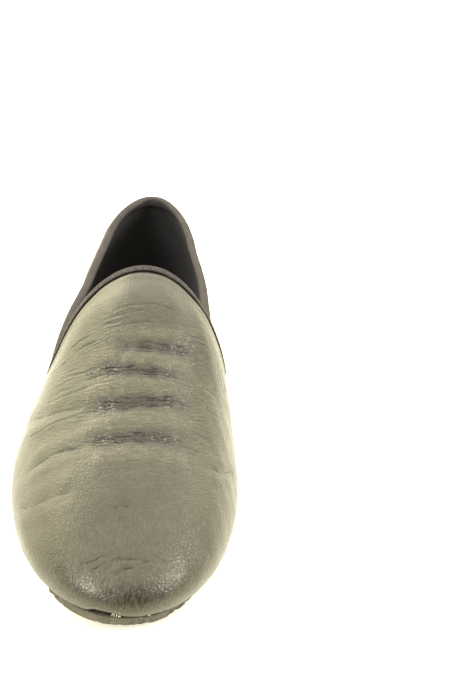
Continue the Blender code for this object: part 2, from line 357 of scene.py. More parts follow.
    def outline_half(self, side: Side, start: float = 0.0) -> Array:
        """Fine plan outline at the widest line, from a station to the toe's tip.

        Args:
            side: Half of the shoe.
            start: Station of the first point.

        Returns:
            Points (x, station).
        """
        share = np.linspace(0.0, 1.0, self.outline_steps)
        station = start + (self.length - start) * (1 - np.cos(np.pi * share)) / 2
        x = self.last("ridge_x", station) + side.value * self.half_width(station, side)
        return np.stack([x, station], axis=1)

    @cached_property
    def middle(self) -> Array:
        """Plan centre (x, station) of the outline, which is the frame's origin."""
        outline = np.concatenate([self.outline_half(side) for side in Side])
        return (outline.min(axis=0) + outline.max(axis=0)) / 2

    def to_world(self, points: Array) -> Array:
        """Shoe millimetres to metres in the frame, toe towards -Y."""
        x, station, z = np.moveaxis(np.asarray(points, float), -1, 0)
        return np.stack([x - self.middle[0], self.middle[1] - station, z], axis=-1) * MM

    @staticmethod
    def inward(loop: Array) -> Array:
        """Plan normals of a closed loop, pointing inside it.

        Args:
            loop: Points (x, station) in order.

        Returns:
            Unit normals.
        """
        tangent = np.roll(loop, -1, axis=0) - np.roll(loop, 1, axis=0)
        normal = unit(np.stack([tangent[:, 1], -tangent[:, 0]], axis=1))
        return normal * np.sign(np.sum(normal * (loop.mean(axis=0) - loop)))

    def tuck(self, loop: Array) -> Array:
        """How far the wall draws in below its widest line."""
        medial = loop[:, 0] > self.last("ridge_x", loop[:, 1])
        return np.where(medial, self.last("tuck_medial", loop[:, 1]), self.last("tuck_lateral", loop[:, 1]))

    def plate_loop(self, offset: float, with_welt: bool, steps: int) -> Array:
        """Plan loop of a sole or sock, offset outwards from the feather line.

        Args:
            offset: Distance outwards.
            with_welt: Whether the sole's own overhang is added.
            steps: Points on each side of the shoe.

        Returns:
            Closed loop of points (x, station), 2 * steps - 2 of them.
        """
        shares = np.linspace(0.0, 1.0, steps)
        loop = around(*(resample(self.outline_half(side), shares) for side in (Side.MEDIAL, Side.LATERAL)))
        shift = offset - self.tuck(loop)
        if with_welt:
            shift = shift + self.last("welt", loop[:, 1])
        return loop - self.inward(loop) * shift[:, None]


@dataclass(frozen=True)
class WallNet:
    """Lines up the wall of the upper, all round, each from the widest line to the top edge."""

    form: LastForm
    quarter_steps: int = 40
    notch_steps: int = 52
    throat_steps: int = 72
    fine_steps: int = 300
    notch_station: dict[Side, float] = field(
        default_factory=lambda: {Side.MEDIAL: 145.0, Side.LATERAL: 153.4}
    )
    notch_height: dict[Side, float] = field(
        default_factory=lambda: {Side.MEDIAL: 39.7, Side.LATERAL: 36.0}
    )
    notch_run: float = 7.0
    notch_throat_share: float = 0.16
    notch_share_of_foot: float = 0.52
    tongue_station: float = 128.5
    throat_power: float = 2.3
    tongue_narrowing: float = 0.32
    tongue_half_width: float = 16.0
    tongue_rise: Pair = (90.0, 20.0)
    collar_crowding: float = 0.35

    # Height of the collar from the heel's back towards the notch
    COLLAR: ClassVar = (
        (0.0, 69.7),
        (15.0, 66.6),
        (40.0, 61.5),
        (70.0, 55.9),
        (105.0, 49.4),
        (160.0, 42.0),
    )

    def collar_height(self, station: Array) -> Array:
        """Height of the collar before it bends into a notch."""
        return read_table(self.COLLAR, 1, station)

    def collar(self, side: Side) -> Array:
        """Collar of one side, from the heel to the notch's bend.

        Args:
            side: Half of the shoe.

        Returns:
            Points (station, angle).
        """
        notch = self.notch_station[side]
        turn = np.linspace(0.0, np.pi / 2, self.quarter_steps)
        share = (1 - np.cos(turn)) * (1 - self.collar_crowding * np.cos(turn))
        station = (notch - self.notch_run) * share
        drop = self.notch_height[side] - self.collar_height(notch)
        height = self.collar_height(station) + drop * station / notch
        return np.stack([station, self.form.angle_at_height(station, height)], axis=1)

    def vamp_edge(self, side: Side) -> Array:
        """Notch and throat of one side, from the collar's end to the tongue.

        Args:
            side: Half of the shoe.

        Returns:
            Points (station, angle).
        """
        notch = self.notch_station[side]
        notch_angle = self.form.angle_at_height(notch, self.notch_height[side])
        rest = 1 - np.linspace(self.notch_throat_share, 1.0, self.throat_steps)
        throat_station = self.tongue_station + (notch - self.tongue_station) * rest**self.throat_power
        throat = np.stack([throat_station, notch_angle * rest], axis=1)
        t = np.linspace(0.0, 1.0, self.notch_steps + 2)[1:-1, None]
        corner = np.array([notch, notch_angle])
        bend = (1 - t) ** 2 * self.collar(side)[-1] + 2 * t * (1 - t) * corner + t * t * throat[0]
        return np.concatenate([bend, throat])

    def side_lines(self, side: Side) -> Array:
        """Fine lines of one side, at constant station on the quarter and as a fan on the vamp.

        Args:
            side: Half of the shoe.

        Returns:
            Points as columns x fine steps x 3.
        """
        form = self.form
        collar = self.collar(side)
        share = np.linspace(0.0, 1.0, self.fine_steps)
        station = np.repeat(collar[:, :1], self.fine_steps, axis=1)
        angle = np.pi / 2 + (collar[:, 1:] - np.pi / 2) * share
        x, z = form.section_point(station, angle, side)
        quarter = np.stack([x, station, z], axis=-1)

        edge = self.vamp_edge(side)
        top_x, _ = form.section_point(edge[:, 0], edge[:, 1], side)
        top = np.stack([top_x, edge[:, 0]], axis=1)
        at_notch = self.notch_share_of_foot * np.arange(1, self.notch_steps + 1) / (self.notch_steps + 1)
        at_throat = np.linspace(self.notch_share_of_foot, 1.0, self.throat_steps)
        foot = resample(form.outline_half(side, collar[-1, 0]), np.concatenate([at_notch, at_throat]))
        sweep = np.cos(share * np.pi / 2)[None, :, None]
        plan = top[:, None] + (foot - top)[:, None] * sweep
        height = form.surface_height(plan[..., 0], plan[..., 1], side)
        vamp = np.concatenate([plan, height[..., None]], axis=-1)
        return np.concatenate([quarter, vamp])

    @cached_property
    def lines(self) -> Array:
        """All lines in one closed loop, as columns x fine steps x 3."""
        return around(self.side_lines(Side.MEDIAL), self.side_lines(Side.LATERAL))

    @cached_property
    def runs(self) -> Array:
        """Length up each line at each of its points."""
        return np.stack([run_lengths(line) for line in self.lines])

    @property
    def lengths(self) -> Array:
        """Length of each line up the wall."""
        return self.runs[:, -1]

    def wall(self, heights: Array) -> Array:
        """Rows of points up the wall.

        Args:
            heights: Lengths up the wall as rows x columns.

        Returns:
            Points as rows x columns x 3, before the heel's lean.
        """
        rows = np.empty((*heights.shape, 3))
        for place, (line, run) in enumerate(zip(self.lines, self.runs)):
            for axis in range(3):
                rows[:, place, axis] = np.interp(heights[:, place], run, line[:, axis])
        return rows

    @cached_property
    def tape_share(self) -> Array:
        """Share of the binding's full width along the top edge, which narrows over the tongue."""
        x, station, _ = self.lines[:, -1].T
        over_tongue = bell(x, self.tongue_half_width) * ramp(station, *self.tongue_rise)
        return 1 - self.tongue_narrowing * over_tongue

    def below_top(self, depths: Array) -> Array:
        """Rows at depths (rows x columns) below the top edge, deepest first, with the heel's lean."""
        return self.form.lean(self.wall(self.lengths - depths))

    def underside(self, widest: Array, margin_rows: int, tuck_rows: int) -> Array:
        """Rows from the turned-in margin's edge up to just below the widest line.

        Args:
            widest: The widest line's points.
            margin_rows: Rows across the margin.
            tuck_rows: Rows from the feather line up to the widest line.

        Returns:
            Points as rows x columns x 3.
        """
        form = self.form
        inward = form.inward(widest[:, :2])
        tuck = form.tuck(widest[:, :2])[:, None]
        rows = []
        for inset in np.linspace(form.margin, 0.0, margin_rows, endpoint=False):
            plan = widest[:, :2] + inward * (tuck + inset)
            rows.append(np.column_stack([plan, form.feather_height(plan[:, 1])]))
        for turn in np.linspace(np.pi / 2, 0.0, tuck_rows, endpoint=False):
            plan = widest[:, :2] + inward * tuck * (1 - np.cos(turn))
            drop = (widest[:, 2] - form.feather_height(plan[:, 1])) * np.sin(turn)
            rows.append(np.column_stack([plan, widest[:, 2] - drop]))
        return np.array(rows)


@dataclass(frozen=True)
class Crease:
    """A fold line in the leather, as a route of (x, station) points."""

    route: Sequence[Pair]
    depth: float
    width: float
    shoulder: float = 0.3
    fade: float = 0.25
    sharpness: float = 1.2


def crease_rows(*rows: tuple[Any, ...], **shape: float) -> tuple[Crease, ...]:
    """Creases of one kind, from rows of a depth, a width and the points of the route."""
    return tuple(Crease(points, depth, width, **shape) for depth, width, *points in rows)


@dataclass
class CreaseField:
    """The vamp's main creases and the small wrinkles between them."""

    form: LastForm

    # A crease: its reach in widths and to spare, wander, uneven depth, and the roll in widths beside it
    sample_steps: int = 140
    reach: float = 3.6
    reach_spare: float = 2.0
    wander: float = 0.13
    waver: float = 0.25
    waver_rate: float = 0.8
    phase_step: float = 1.7
    roll_place: float = 2.2
    roll_width: float = 1.1
    roll_lean: float = 0.15

    # Short wrinkles: where they lie, least and greatest sizes, and slant (in the middle, per millimetre)
    small_count: int = 260
    small_station: Pair = (146.0, 224.0)
    small_half_width: float = 33.0
    small_depth: Pair = (0.03, 0.1)
    small_half_run: Pair = (1.8, 5.5)
    small_width: Pair = (0.4, 0.5)
    small_fade: float = 0.4
    slant: Pair = (0.08, 0.012)
    slant_spread: float = 0.07
    bow_spread: float = 0.4

    # More of them in each band, kept off its ends
    band_count: int = 7
    band_ends: Pair = (2.0, 3.0)
    band_spread: float = 1.7
    band_depth: Pair = (0.08, 0.22)

    # Bending leather: how far it runs on towards (heel, toe), its fades, and its (lowest height, fade)
    flex_reach: Pair = (8.0, 28.0)
    flex_fade: Pair = (20.0, 40.0)
    flex_height: Pair = (18.0, 16.0)

    # Slight wander of a crease as (size, radians to the millimetre, share of its phase)
    WAVES: ClassVar = ((1.0, 0.55, 1.0), (0.7, 1.3, 2.1))
    # Wide shallow troughs where the foot bends the vamp
    BANDS: ClassVar = crease_rows(
        (0.50, 3.2, (-17.0, 171.5), (-5.5, 171.0), (1.5, 171.0), (9.0, 169.5), (17.0, 167.0),
         (24.0, 163.0)),
        (0.55, 3.6, (-27.0, 177.5), (-21.0, 179.0), (-12.0, 179.5), (-5.5, 179.5), (0.0, 180.5),
         (6.0, 180.0), (15.0, 178.5), (22.0, 176.5)),
        (0.55, 3.6, (-25.0, 194.5), (-18.0, 195.0), (-11.5, 194.0), (-6.5, 194.0), (4.5, 192.0),
         (10.0, 190.5), (19.0, 188.5), (25.0, 186.5)),
        (0.45, 3.6, (-25.0, 210.0), (-18.0, 209.5), (-11.0, 209.5), (0.5, 208.0), (11.0, 206.5),
         (20.0, 203.5), (25.0, 202.0)),
        shoulder=0.6, fade=0.35, sharpness=2.0,
    )
    # Routes that a soft roll and the fold along it share
    OUTER_BALL: ClassVar = ((-44.0, 179.0), (-35.0, 188.0), (-27.0, 191.0), (-17.5, 194.0))
    OUTER_TOE: ClassVar = ((-41.0, 223.0), (-33.0, 229.5), (-27.5, 230.0), (-16.0, 230.0))
    INNER_BALL: ClassVar = ((27.0, 209.5), (33.0, 208.0), (42.0, 197.0))
    # Soft rolls down the sides
    ROLLS: ClassVar = crease_rows(
        (0.34, 2.6, *OUTER_BALL),
        (0.34, 2.4, (-40.5, 212.0), (-33.0, 210.5), (-28.0, 210.0), (-16.0, 212.0)),
        (0.28, 2.6, *OUTER_TOE),
        (0.24, 2.2, *INNER_BALL),
        shoulder=0.6, sharpness=2.0,
    )
    # Sharp folds inside the bands and beside them
    FOLDS: ClassVar = crease_rows(
        # First flex line below the tongue
        (0.30, 0.50, (-8.0, 171.0), (-3.5, 171.0), (1.5, 171.0), (7.0, 170.0), (12.0, 168.5)),
        (0.22, 0.50, (-5.0, 172.4), (0.0, 172.6), (6.0, 171.6)),
        (0.28, 0.50, (13.5, 168.5), (19.5, 166.0)),
        (0.20, 0.48, (18.5, 168.5), (21.0, 168.0), (24.0, 166.0), (27.5, 162.0), (29.5, 158.0)),
        (0.21, 0.50, (-4.5, 170.0), (0.5, 169.0), (6.5, 168.5)),
        # Second flex line with its side folds
        (0.25, 0.48, (-18.5, 179.0), (-11.5, 178.5), (-6.0, 179.0), (-1.0, 180.5), (1.5, 181.0)),
        (0.25, 0.48, (2.5, 180.6), (7.5, 179.5), (11.0, 178.5)),
        (0.22, 0.50, (-21.0, 181.0), (-17.0, 181.0), (-12.0, 180.5)),
        (0.25, 0.50, (-6.0, 182.2), (0.0, 182.2), (6.5, 180.8), (12.5, 180.0), (20.0, 177.5)),
        (0.20, 0.50, (-30.5, 174.0), (-24.0, 176.5), (-17.5, 177.5)),
        (0.18, 0.50, (-39.5, 179.5), (-30.0, 183.5), (-20.5, 184.5), (-11.0, 184.5), (-3.0, 184.0)),
        # Third flex line, across the ball
        (0.25, 0.48, (-16.0, 195.0), (-12.0, 194.5), (-9.5, 194.0), (-6.5, 193.5)),
        (0.25, 0.48, (-7.0, 194.4), (-1.5, 194.0), (2.0, 193.0)),
        (0.25, 0.48, (1.5, 193.0), (3.5, 192.0), (7.5, 191.0), (11.0, 189.5), (14.0, 189.0)),
        (0.25, 0.50, (2.0, 195.0), (7.5, 193.0), (12.0, 192.0)),
        (0.17, 0.50, *OUTER_BALL),
        (0.17, 0.50, (-44.0, 187.5), (-37.5, 194.0), (-31.5, 194.5), (-19.5, 195.5), (-12.0, 196.5)),
        # Fourth flex line, in front of the ball
        (0.20, 0.48, (-9.5, 209.5), (-4.0, 209.0), (0.0, 208.0), (3.0, 208.0), (8.5, 206.5)),
        (0.20, 0.48, (10.0, 206.5), (16.5, 203.5), (20.5, 203.0)),
        (0.26, 0.50, (-13.0, 212.5), (-6.5, 211.5), (-0.5, 210.5), (8.0, 210.0)),
        (0.26, 0.50, (-40.5, 212.0), (-37.0, 211.5), (-33.0, 210.5), (-28.0, 210.0), (-22.0, 211.0),
         (-16.0, 212.0)),
        (0.20, 0.50, *OUTER_TOE),
        (0.17, 0.50, (-33.5, 233.5), (-28.0, 233.5), (-23.0, 233.0), (-17.0, 232.5)),
        (0.27, 0.55, (-6.0, 238.5), (-2.0, 238.0), (1.5, 238.0)),
        (0.18, 0.50, *INNER_BALL),
        (0.17, 0.70, (9.5, 209.0), (21.5, 206.5), (27.5, 205.5)),
        # Fine lines just below the tongue's edge
        (0.21, 0.55, (-15.5, 154.5), (-8.5, 153.5), (-2.0, 152.5), (5.0, 152.0), (15.5, 152.0)),
        (0.18, 0.55, (-18.0, 157.5), (-11.0, 157.0), (1.5, 155.0)),
        (0.21, 0.55, (-18.5, 159.5), (-12.0, 159.5), (-5.5, 158.5)),
        (0.20, 0.50, (-14.5, 162.0), (-6.5, 161.5), (0.0, 160.5), (6.0, 160.0)),
        (0.21, 0.50, (-29.5, 161.0), (-26.0, 161.0), (-21.5, 161.5)),
        (0.26, 0.50, (-28.5, 165.0), (-23.0, 165.0), (-17.0, 165.0)),
        (0.26, 0.50, (16.0, 160.5), (21.5, 158.0), (27.0, 155.5)),
        (0.21, 0.50, (17.0, 162.5), (23.5, 159.5), (28.0, 156.5)),
        # Drag line from the inner notch
        (0.22, 0.90, (34.0, 155.0), (36.0, 159.5), (38.0, 164.0)),
    )
    # Short arcs where the leather is drawn over the toe
    TOE_ARCS: ClassVar = crease_rows(
        (0.32, 0.60, (-16.5, 257.0), (-12.0, 256.5), (-7.5, 255.0), (-3.5, 254.0)),
        (0.32, 0.60, (-12.5, 259.5), (-7.5, 257.5), (-2.5, 256.0), (3.0, 254.5)),
        (0.32, 0.60, (-8.0, 259.5), (-1.5, 257.0), (4.5, 255.5), (11.5, 256.0)),
        (0.32, 0.60, (-4.5, 261.5), (0.5, 259.0), (6.0, 257.5), (11.0, 258.0)),
        (0.28, 0.60, (7.5, 253.0), (12.0, 253.5), (15.5, 254.5)),
        shoulder=0.4, fade=0.2,
    )

    def short(self, draw: np.random.Generator, middle: float, station: float, depths: Pair) -> Crease:
        """One seeded short wrinkle that follows the way the vamp bends.

        Args:
            draw: Source of the random numbers.
            middle: Its middle across the foot.
            station: Its middle along the foot.
            depths: Least and greatest depth.

        Returns:
            A crease with three points.
        """
        half_run = draw.uniform(*self.small_half_run)
        level, rise = self.slant
        slant = level + rise * middle + draw.normal(0.0, self.slant_spread)
        bow = draw.normal(0.0, self.bow_spread)
        route = [
            (middle + share * half_run, station - share * half_run * slant + bow * (1 - abs(share)))
            for share in (-1.0, 0.0, 1.0)
        ]
        return Crease(route, draw.uniform(*depths), draw.uniform(*self.small_width), fade=self.small_fade)

    def small(self) -> list[Crease]:
        """Seeded short wrinkles all over the flex zone, and more of them in the main bands.

        Returns:
            Creases with three points each.
        """
        draw = np.random.default_rng(WRINKLE_SEED)
        wrinkles = []
        for _ in range(self.small_count):
            middle = draw.uniform(-1.0, 1.0) * self.small_half_width
            wrinkles.append(self.short(draw, middle, draw.uniform(*self.small_station), self.small_depth))
        for band in self.BANDS:
            x, station = np.asarray(band.route).T
            for _ in range(self.band_count):
                middle = draw.uniform(x[0] + self.band_ends[0], x[-1] - self.band_ends[1])
                place = np.interp(middle, x, station) + draw.normal(0.0, self.band_spread)
                wrinkles.append(self.short(draw, middle, place, self.band_depth))
        return wrinkles

    def one(self, crease: Crease, points: Array, phase: float) -> Array:
        """Relief of one crease: a trough with a soft roll on each side.

        Args:
            crease: The fold line.
            points: Surface points, one a row.
            phase: Start of the slight wander along the line.

        Returns:
            Heights along the surface normal.
        """
        route = np.asarray(crease.route)
        share = np.linspace(0.0, 1.0, self.sample_steps)
        knots = run_lengths(route)
        x, station = (smooth_curve(knots / knots[-1], route[:, k], share) for k in range(2))
        along = share * knots[-1]
        wander = sum(size * np.sin(along * rate + turn * phase) for size, rate, turn in self.WAVES)
        line = self.form.vamp_point(x, station + self.wander * wander)
        relief = np.zeros(len(points))
        reach = self.reach * crease.width + self.reach_spare
        near = np.all((points > line.min(axis=0) - reach) & (points < line.max(axis=0) + reach), axis=1)
        if not near.any():
            return relief
        gap = np.linalg.norm(points[near][:, None] - line[None], axis=2)
        closest = gap.argmin(axis=1)
        distance = gap[np.arange(len(gap)), closest]
        place = share[closest]
        strength = ease(place / crease.fade) * ease((1 - place) / crease.fade)
        strength = strength * (1 + self.waver * np.sin(along[closest] * self.waver_rate + phase))
        lean = np.where(points[near][:, 1] > line[closest, 1], 1 + self.roll_lean, 1 - self.roll_lean)
        roll = bell(distance - self.roll_place * crease.width, self.roll_width * crease.width)
        trough = np.exp(-((distance / crease.width) ** crease.sharpness))
        relief[near] = crease.depth * strength * (crease.shoulder * lean * roll - trough)
        return relief

    def relief(self, points: Array, lines: Sequence[Crease]) -> Array:
        """Relief of a set of creases together.

        Args:
            points: Surface points as any shape x 3.
            lines: The fold lines.

        Returns:
            Heights along the surface normal, of that shape.
        """
        flat = points.reshape(-1, 3)
        total = np.zeros(len(flat))
        for number, crease in enumerate(lines):
            total += self.one(crease, flat, self.phase_step * number)
        return total.reshape(points.shape[:-1])

    def flex(self, points: Array) -> Array:
        """How much the leather bends at each point, from 0 to 1.

        Args:
            points: Surface points as any shape x 3.

        Returns:
            Shares, of that shape.
        """
        _, station, z = np.moveaxis(points, -1, 0)
        start, end = self.small_station
        from_heel = ease((station - start + self.flex_reach[0]) / self.flex_fade[0])
        from_toe = ease((end + self.flex_reach[1] - station) / self.flex_fade[1])
        return from_heel * from_toe * ramp(z, *self.flex_height)


class Bench:
    """A material's node tree, with short calls that add and join nodes."""

    def __init__(self, name: str) -> None:
        """Starts a material with its Principled shader.

        Args:
            name: Name of the material.
        """
        self.material = bpy.data.materials.new(name)
        self.material.use_nodes = True
        self.tree = self.material.node_tree
        self.shader = self.tree.nodes["Principled BSDF"]

    def node(self, kind: str, inputs: Optional[dict[Any, Any]] = None, **settings: Any) -> bpy.types.Node:
        """Adds one node.

        Args:
            kind: Blender's node type.
            inputs: Sockets by name or number, each a value or a socket to link.
            settings: The node's own properties.

        Returns:
            The new node.
        """
        made = self.tree.nodes.new(kind)
        for name, value in settings.items():
            setattr(made, name, value)
        for name, value in (inputs or {}).items():
            self.feed(made.inputs[name], value)
        return made

    def feed(self, target: Socket, value: Any) -> None:
        """Links a socket to another, or sets its value.

        Args:
            target: Socket to feed.
            value: Socket to link it to, or its new value.
        """
        if isinstance(value, bpy.types.NodeSocket):
            self.tree.links.new(value, target)
        else:
            target.default_value = value

    def set(self, **inputs: Any) -> None:
        """Sets or links the shader's sockets, with _ for a space in their names."""
        for name, value in inputs.items():
            self.feed(self.shader.inputs[name.replace("_", " ")], value)

    def place(self, stretch: Optional[Triple] = None, uv: bool = False) -> Socket:
        """Object or UV coordinates, stretched along the axes.

        Args:
            stretch: Scale along each axis, if any.
            uv: Whether to read the piece's UV map.

        Returns:
            Socket with the coordinates.
        """
        coordinates = self.node("ShaderNodeTexCoord").outputs["UV" if uv else "Object"]
        if stretch is None:
            return coordinates
        return self.node("ShaderNodeMapping", {"Vector": coordinates, "Scale": stretch}).outputs[0]

    def split(self, at: Optional[Socket] = None) -> Sequence[Socket]:
        """The x, y and z of coordinates, the object's own if not given."""
        return self.node("ShaderNodeSeparateXYZ", {0: at or self.place()}).outputs

    def noise(self, scale: float, detail: float = 2.0, at: Optional[Socket] = None) -> Socket:
        """Noise from 0 to 1, mostly near its middle.

        Args:
            scale: Waves to the metre.
            detail: Octaves.
            at: Coordinates, the object's own if not given.

        Returns:
            Socket with the value.
        """
        inputs = {"Vector": at or self.place(), "Scale": scale, "Detail": detail}
        return self.node("ShaderNodeTexNoise", inputs).outputs[0]

    def cells(self, scale: float, at: Optional[Socket] = None) -> Socket:
        """Distance to the edge of random cells, as on pebbled leather."""
        inputs = {"Vector": at or self.place(), "Scale": scale}
        return self.node("ShaderNodeTexVoronoi", inputs, feature="DISTANCE_TO_EDGE").outputs["Distance"]

    def attribute(self, name: str) -> Socket:
        """A value stored on the piece's points."""
        return self.node("ShaderNodeAttribute", attribute_name=name).outputs["Fac"]

    def scaled(
        self, value: Socket, low: float, high: float, to_low: float = 0.0, to_high: float = 1.0
    ) -> Socket:
        """Maps a range of values onto another, clamped.

        Args:
            value: Socket to read.
            low: Value that gives to_low.
            high: Value that gives to_high.
            to_low: Result at low.
            to_high: Result at high.

        Returns:
            Socket with the mapped value.
        """
        inputs = {0: value, 1: low, 2: high, 3: to_low, 4: to_high}
        return self.node("ShaderNodeMapRange", inputs).outputs[0]

    def dome(self, distance: Socket, top: float) -> Socket:
        """Rounded height from 0 at a cell's edge to 1 at a distance from it."""
        inputs = {0: distance, 1: 0.0, 2: top}
        return self.node("ShaderNodeMapRange", inputs, interpolation_type="SMOOTHSTEP").outputs[0]

    def math(self, operation: str, first: Any, second: Any = 0.0) -> Socket:
        """One of Blender's math operations on one or two values."""
        return self.node("ShaderNodeMath", {0: first, 1: second}, operation=operation).outputs[0]

    def chain(self, operation: str, *values: Any) -> Socket:
        """The same operation over several values, such as their product."""
        return reduce(lambda total, value: self.math(operation, total, value), values)

    def mean(self, first: Socket, second: Socket) -> Socket:
        """Halfway between two values."""
        return self.math("MULTIPLY", self.math("ADD", first, second), 0.5)

    def ripple(self, place: Socket, rate: float) -> Socket:
        """Sine wave along a coordinate, the rate in radians."""
        return self.math("SINE", self.math("MULTIPLY", place, rate))

    def blend(self, factor: Socket, first: Any, second: Any) -> Socket:
        """Mixes two colours by a factor from 0 to 1.

        Args:
            factor: Share of the second colour.
            first: Colour or socket at 0.
            second: Colour or socket at 1.

        Returns:
            Socket with the colour.
        """
        colours = [(*c, 1.0) if isinstance(c, tuple) else c for c in (first, second)]
        inputs = {0: factor, 6: colours[0], 7: colours[1]}
        return self.node("ShaderNodeMix", inputs, data_type="RGBA").outputs[2]

    def bump(self, height: Socket, distance: float) -> Socket:
        """Surface normal from a height field, the distance in metres."""
        return self.node("ShaderNodeBump", {"Height": height, "Distance": distance}).outputs["Normal"]


@dataclass(frozen=True)
class Finish(ABC):
    """A finish between a dark and a light tone, which each kind dresses in its own way."""

    name: str
    dark: Colour
    light: Colour

    @abstractmethod
    def dress(self, bench: Bench) -> None:
        """Sets the shader's sockets."""

    def material(self) -> bpy.types.Material:
        """Builds the finish.

        Returns:
            The material.
        """
        bench = Bench(self.name)
        self.dress(bench)
        return bench.material


@dataclass(frozen=True)
class Leather(Finish):
    """Worn black leather with a pebbled grain, crinkled where the foot bends it, with painted shade,
    highlights, glints and a dark reflection in its colour.
    """

    name: str = "black_leather"
    dark: Colour = (0.027, 0.025, 0.019)
    light: Colour = (0.046, 0.043, 0.032)
    # Painted shade in the bend bands
    band: Colour = (0.016, 0.014, 0.013)
    # Painted highlight on the rolls beside the bands
    ridge: Colour = (0.078, 0.073, 0.050)
    # Painted shade in the pebbles' grooves, the fine wrinkles, the folds and the cracks
    trough: Colour = (0.005, 0.004, 0.004)
    # Painted glints in the bands
    glint_highlight: Colour = (0.330, 0.315, 0.285)
    # Wear and a painted dark reflection on the toe
    wear_and_dark_reflection: Colour = (0.008, 0.005, 0.004)
    gloss_tint: Colour = (1.0, 0.96, 0.82)

    # Grain: cells to the metre, how far from its edge a cell is full height, depth in metres, and the
    # swirl that bends the cells as (waves to the metre, size)
    pebble_scale: float = 680.0
    pebble_edge: float = 0.32
    pebble_swirl: Pair = (300.0, 0.0012)
    fine_scale: float = 2300.0
    fine_edge: float = 0.4
    fine_share: float = 0.07
    grain_depth: float = 0.00006

    # Bend lines: their bow and its middle, their swirl as (waves to the metre, size), the fine cracks,
    # and noises along them as waves to the metre (round the foot, from line to line)
    bow: float = 9.9
    bow_middle: float = -0.0057
    bend_swirl: Pair = (220.0, 0.0022)
    crack_count: float = 780.0
    crack_half_gap: float = 0.5
    crack_wander: float = 2.4
    wander_waves: Pair = (110.0, 300.0)
    break_waves: Pair = (90.0, 800.0)
    creping_waves: Pair = (170.0, 700.0)
    creping_edge: float = 0.3

    # Noises as (waves to the metre, octaves)
    cloud_noise: Pair = (26.0, 4.0)
    mottle_noise: Pair = (240.0, 3.0)
    rough_noise: Pair = (90.0, 4.0)
    glint_scale: float = 1350.0
    wear_and_reflection_stretch: Triple = (1400.0, 420.0, 420.0)

    # Ranges of a mark or a noise, and the shares that they give
    band_span: Span = (0.04, 0.36)
    ridge_highlight_span: Span = (-0.03, -0.25, 0.0, 0.75)
    fold_shade_span: Span = (0.05, 0.3, 0.0, 0.6)
    crack_span: Span = (0.03, 0.2, 1.0, 0.0)
    break_span: Span = (0.38, 0.5)
    creping_span: Span = (0.0, 0.5, 0.7, 0.0)
    pebble_groove_shade_span: Span = (0.0, 0.5, 0.22, 0.0)
    cloud_span: Span = (0.35, 0.65, 0.0, 0.6)
    mottle_span: Span = (0.35, 0.7, 0.0, 0.4)
    glint_span: Span = (0.7, 0.82)
    glint_side_span: Span = (0.003, 0.014, 0.15, 1.0)
    wear_and_reflection_span: Span = (0.38, 0.6, 0.85, 0.25)
    rough_span: Span = (0.3, 0.7, 0.26, 0.36)
    gloss_span: Span = (0.0, 1.0, 0.45, 0.08)

    # Shares of the tones and heights that lie over each other
    band_shade_share: float = 0.75
    hairline_shade_share: float = 0.5
    glint_highlight_share: float = 0.3
    groove_shade_share: float = 0.95
    groove_height: float = -2.4
    creping_height: float = 0.7
    dull_rough: float = 0.3
    glint_highlight_rough: float = 0.08
    band_dull: float = 0.35

    def bent(self, bench: Bench, across: float, along: float) -> Socket:
        """Coordinates that follow the bend lines, which bow back towards the sides.

        Args:
            bench: The material's node tree.
            across: Waves to the metre round the foot.
            along: Waves to the metre from line to line.

        Returns:
            Socket with the coordinates.
        """
        x, y, z = bench.split()
        side = bench.math("SUBTRACT", x, self.bow_middle)
        line = bench.math("SUBTRACT", bench.chain("MULTIPLY", side, side, self.bow), y)
        scale, size = self.bend_swirl
        line = bench.math("ADD", line, bench.math("MULTIPLY", bench.noise(scale), size))
        places = {
            axis: bench.math("MULTIPLY", place, waves)
            for axis, (place, waves) in enumerate(((x, across), (line, along), (z, across)))
        }
        return bench.node("ShaderNodeCombineXYZ", places).outputs[0]

    def cracks(self, bench: Bench) -> Socket:
        """Fine wrinkles side by side along the bend, each broken off here and there.

        Args:
            bench: The material's node tree.

        Returns:
            Socket with 1 in a wrinkle and 0 beside it.
        """
        along = bench.split(self.bent(bench, 1.0, self.crack_count))[1]
        wander = bench.noise(1.0, at=self.bent(bench, *self.wander_waves))
        along = bench.math("ADD", along, bench.math("MULTIPLY", wander, self.crack_wander))
        gap = bench.math("PINGPONG", along, self.crack_half_gap)
        kept = bench.scaled(bench.noise(1.0, at=self.bent(bench, *self.break_waves)), *self.break_span)
        return bench.math("MULTIPLY", bench.scaled(gap, *self.crack_span), kept)

    def pebbles(self, bench: Bench) -> tuple[Socket, Socket]:
        """Pebbled grain.

        Args:
            bench: The material's node tree.

        Returns:
            Sockets with the pebbles alone and with the fine cells on them.
        """
        scale, size = self.pebble_swirl
        swirl = bench.node("ShaderNodeTexNoise", {"Vector": bench.place(), "Scale": scale, "Detail": 1.0})
        swirled = {0: size, 4: bench.place(), 5: swirl.outputs["Color"]}
        at = bench.node("ShaderNodeMix", swirled, data_type="VECTOR").outputs[1]
        pebble = bench.dome(bench.cells(self.pebble_scale, at), self.pebble_edge)
        fine = bench.dome(bench.cells(self.fine_scale, at), self.fine_edge)
        return pebble, bench.math("ADD", pebble, bench.math("MULTIPLY", fine, self.fine_share))

    def dress(self, bench: Bench) -> None:
        """Sets the shader's sockets, with the tones laid over each other from the base up.

        Args:
            bench: The material's node tree.
        """
        fold, flex, wear_and_dark_reflection, valley = map(bench.attribute, ("fold", "flex", "wear_and_dark_reflection", "valley"))
        # Mask of the bend bands, which also carries their painted shade
        band = bench.scaled(valley, *self.band_span)
        pebble, grain = self.pebbles(bench)
        crack = self.cracks(bench)
        groove = bench.math("MULTIPLY", crack, band)
        creping = bench.dome(bench.cells(1.0, self.bent(bench, *self.creping_waves)), self.creping_edge)
        # Fine wrinkle lines, which get painted shade where the leather bends
        hairline_shade = bench.math("MAXIMUM", bench.scaled(creping, *self.creping_span), crack)
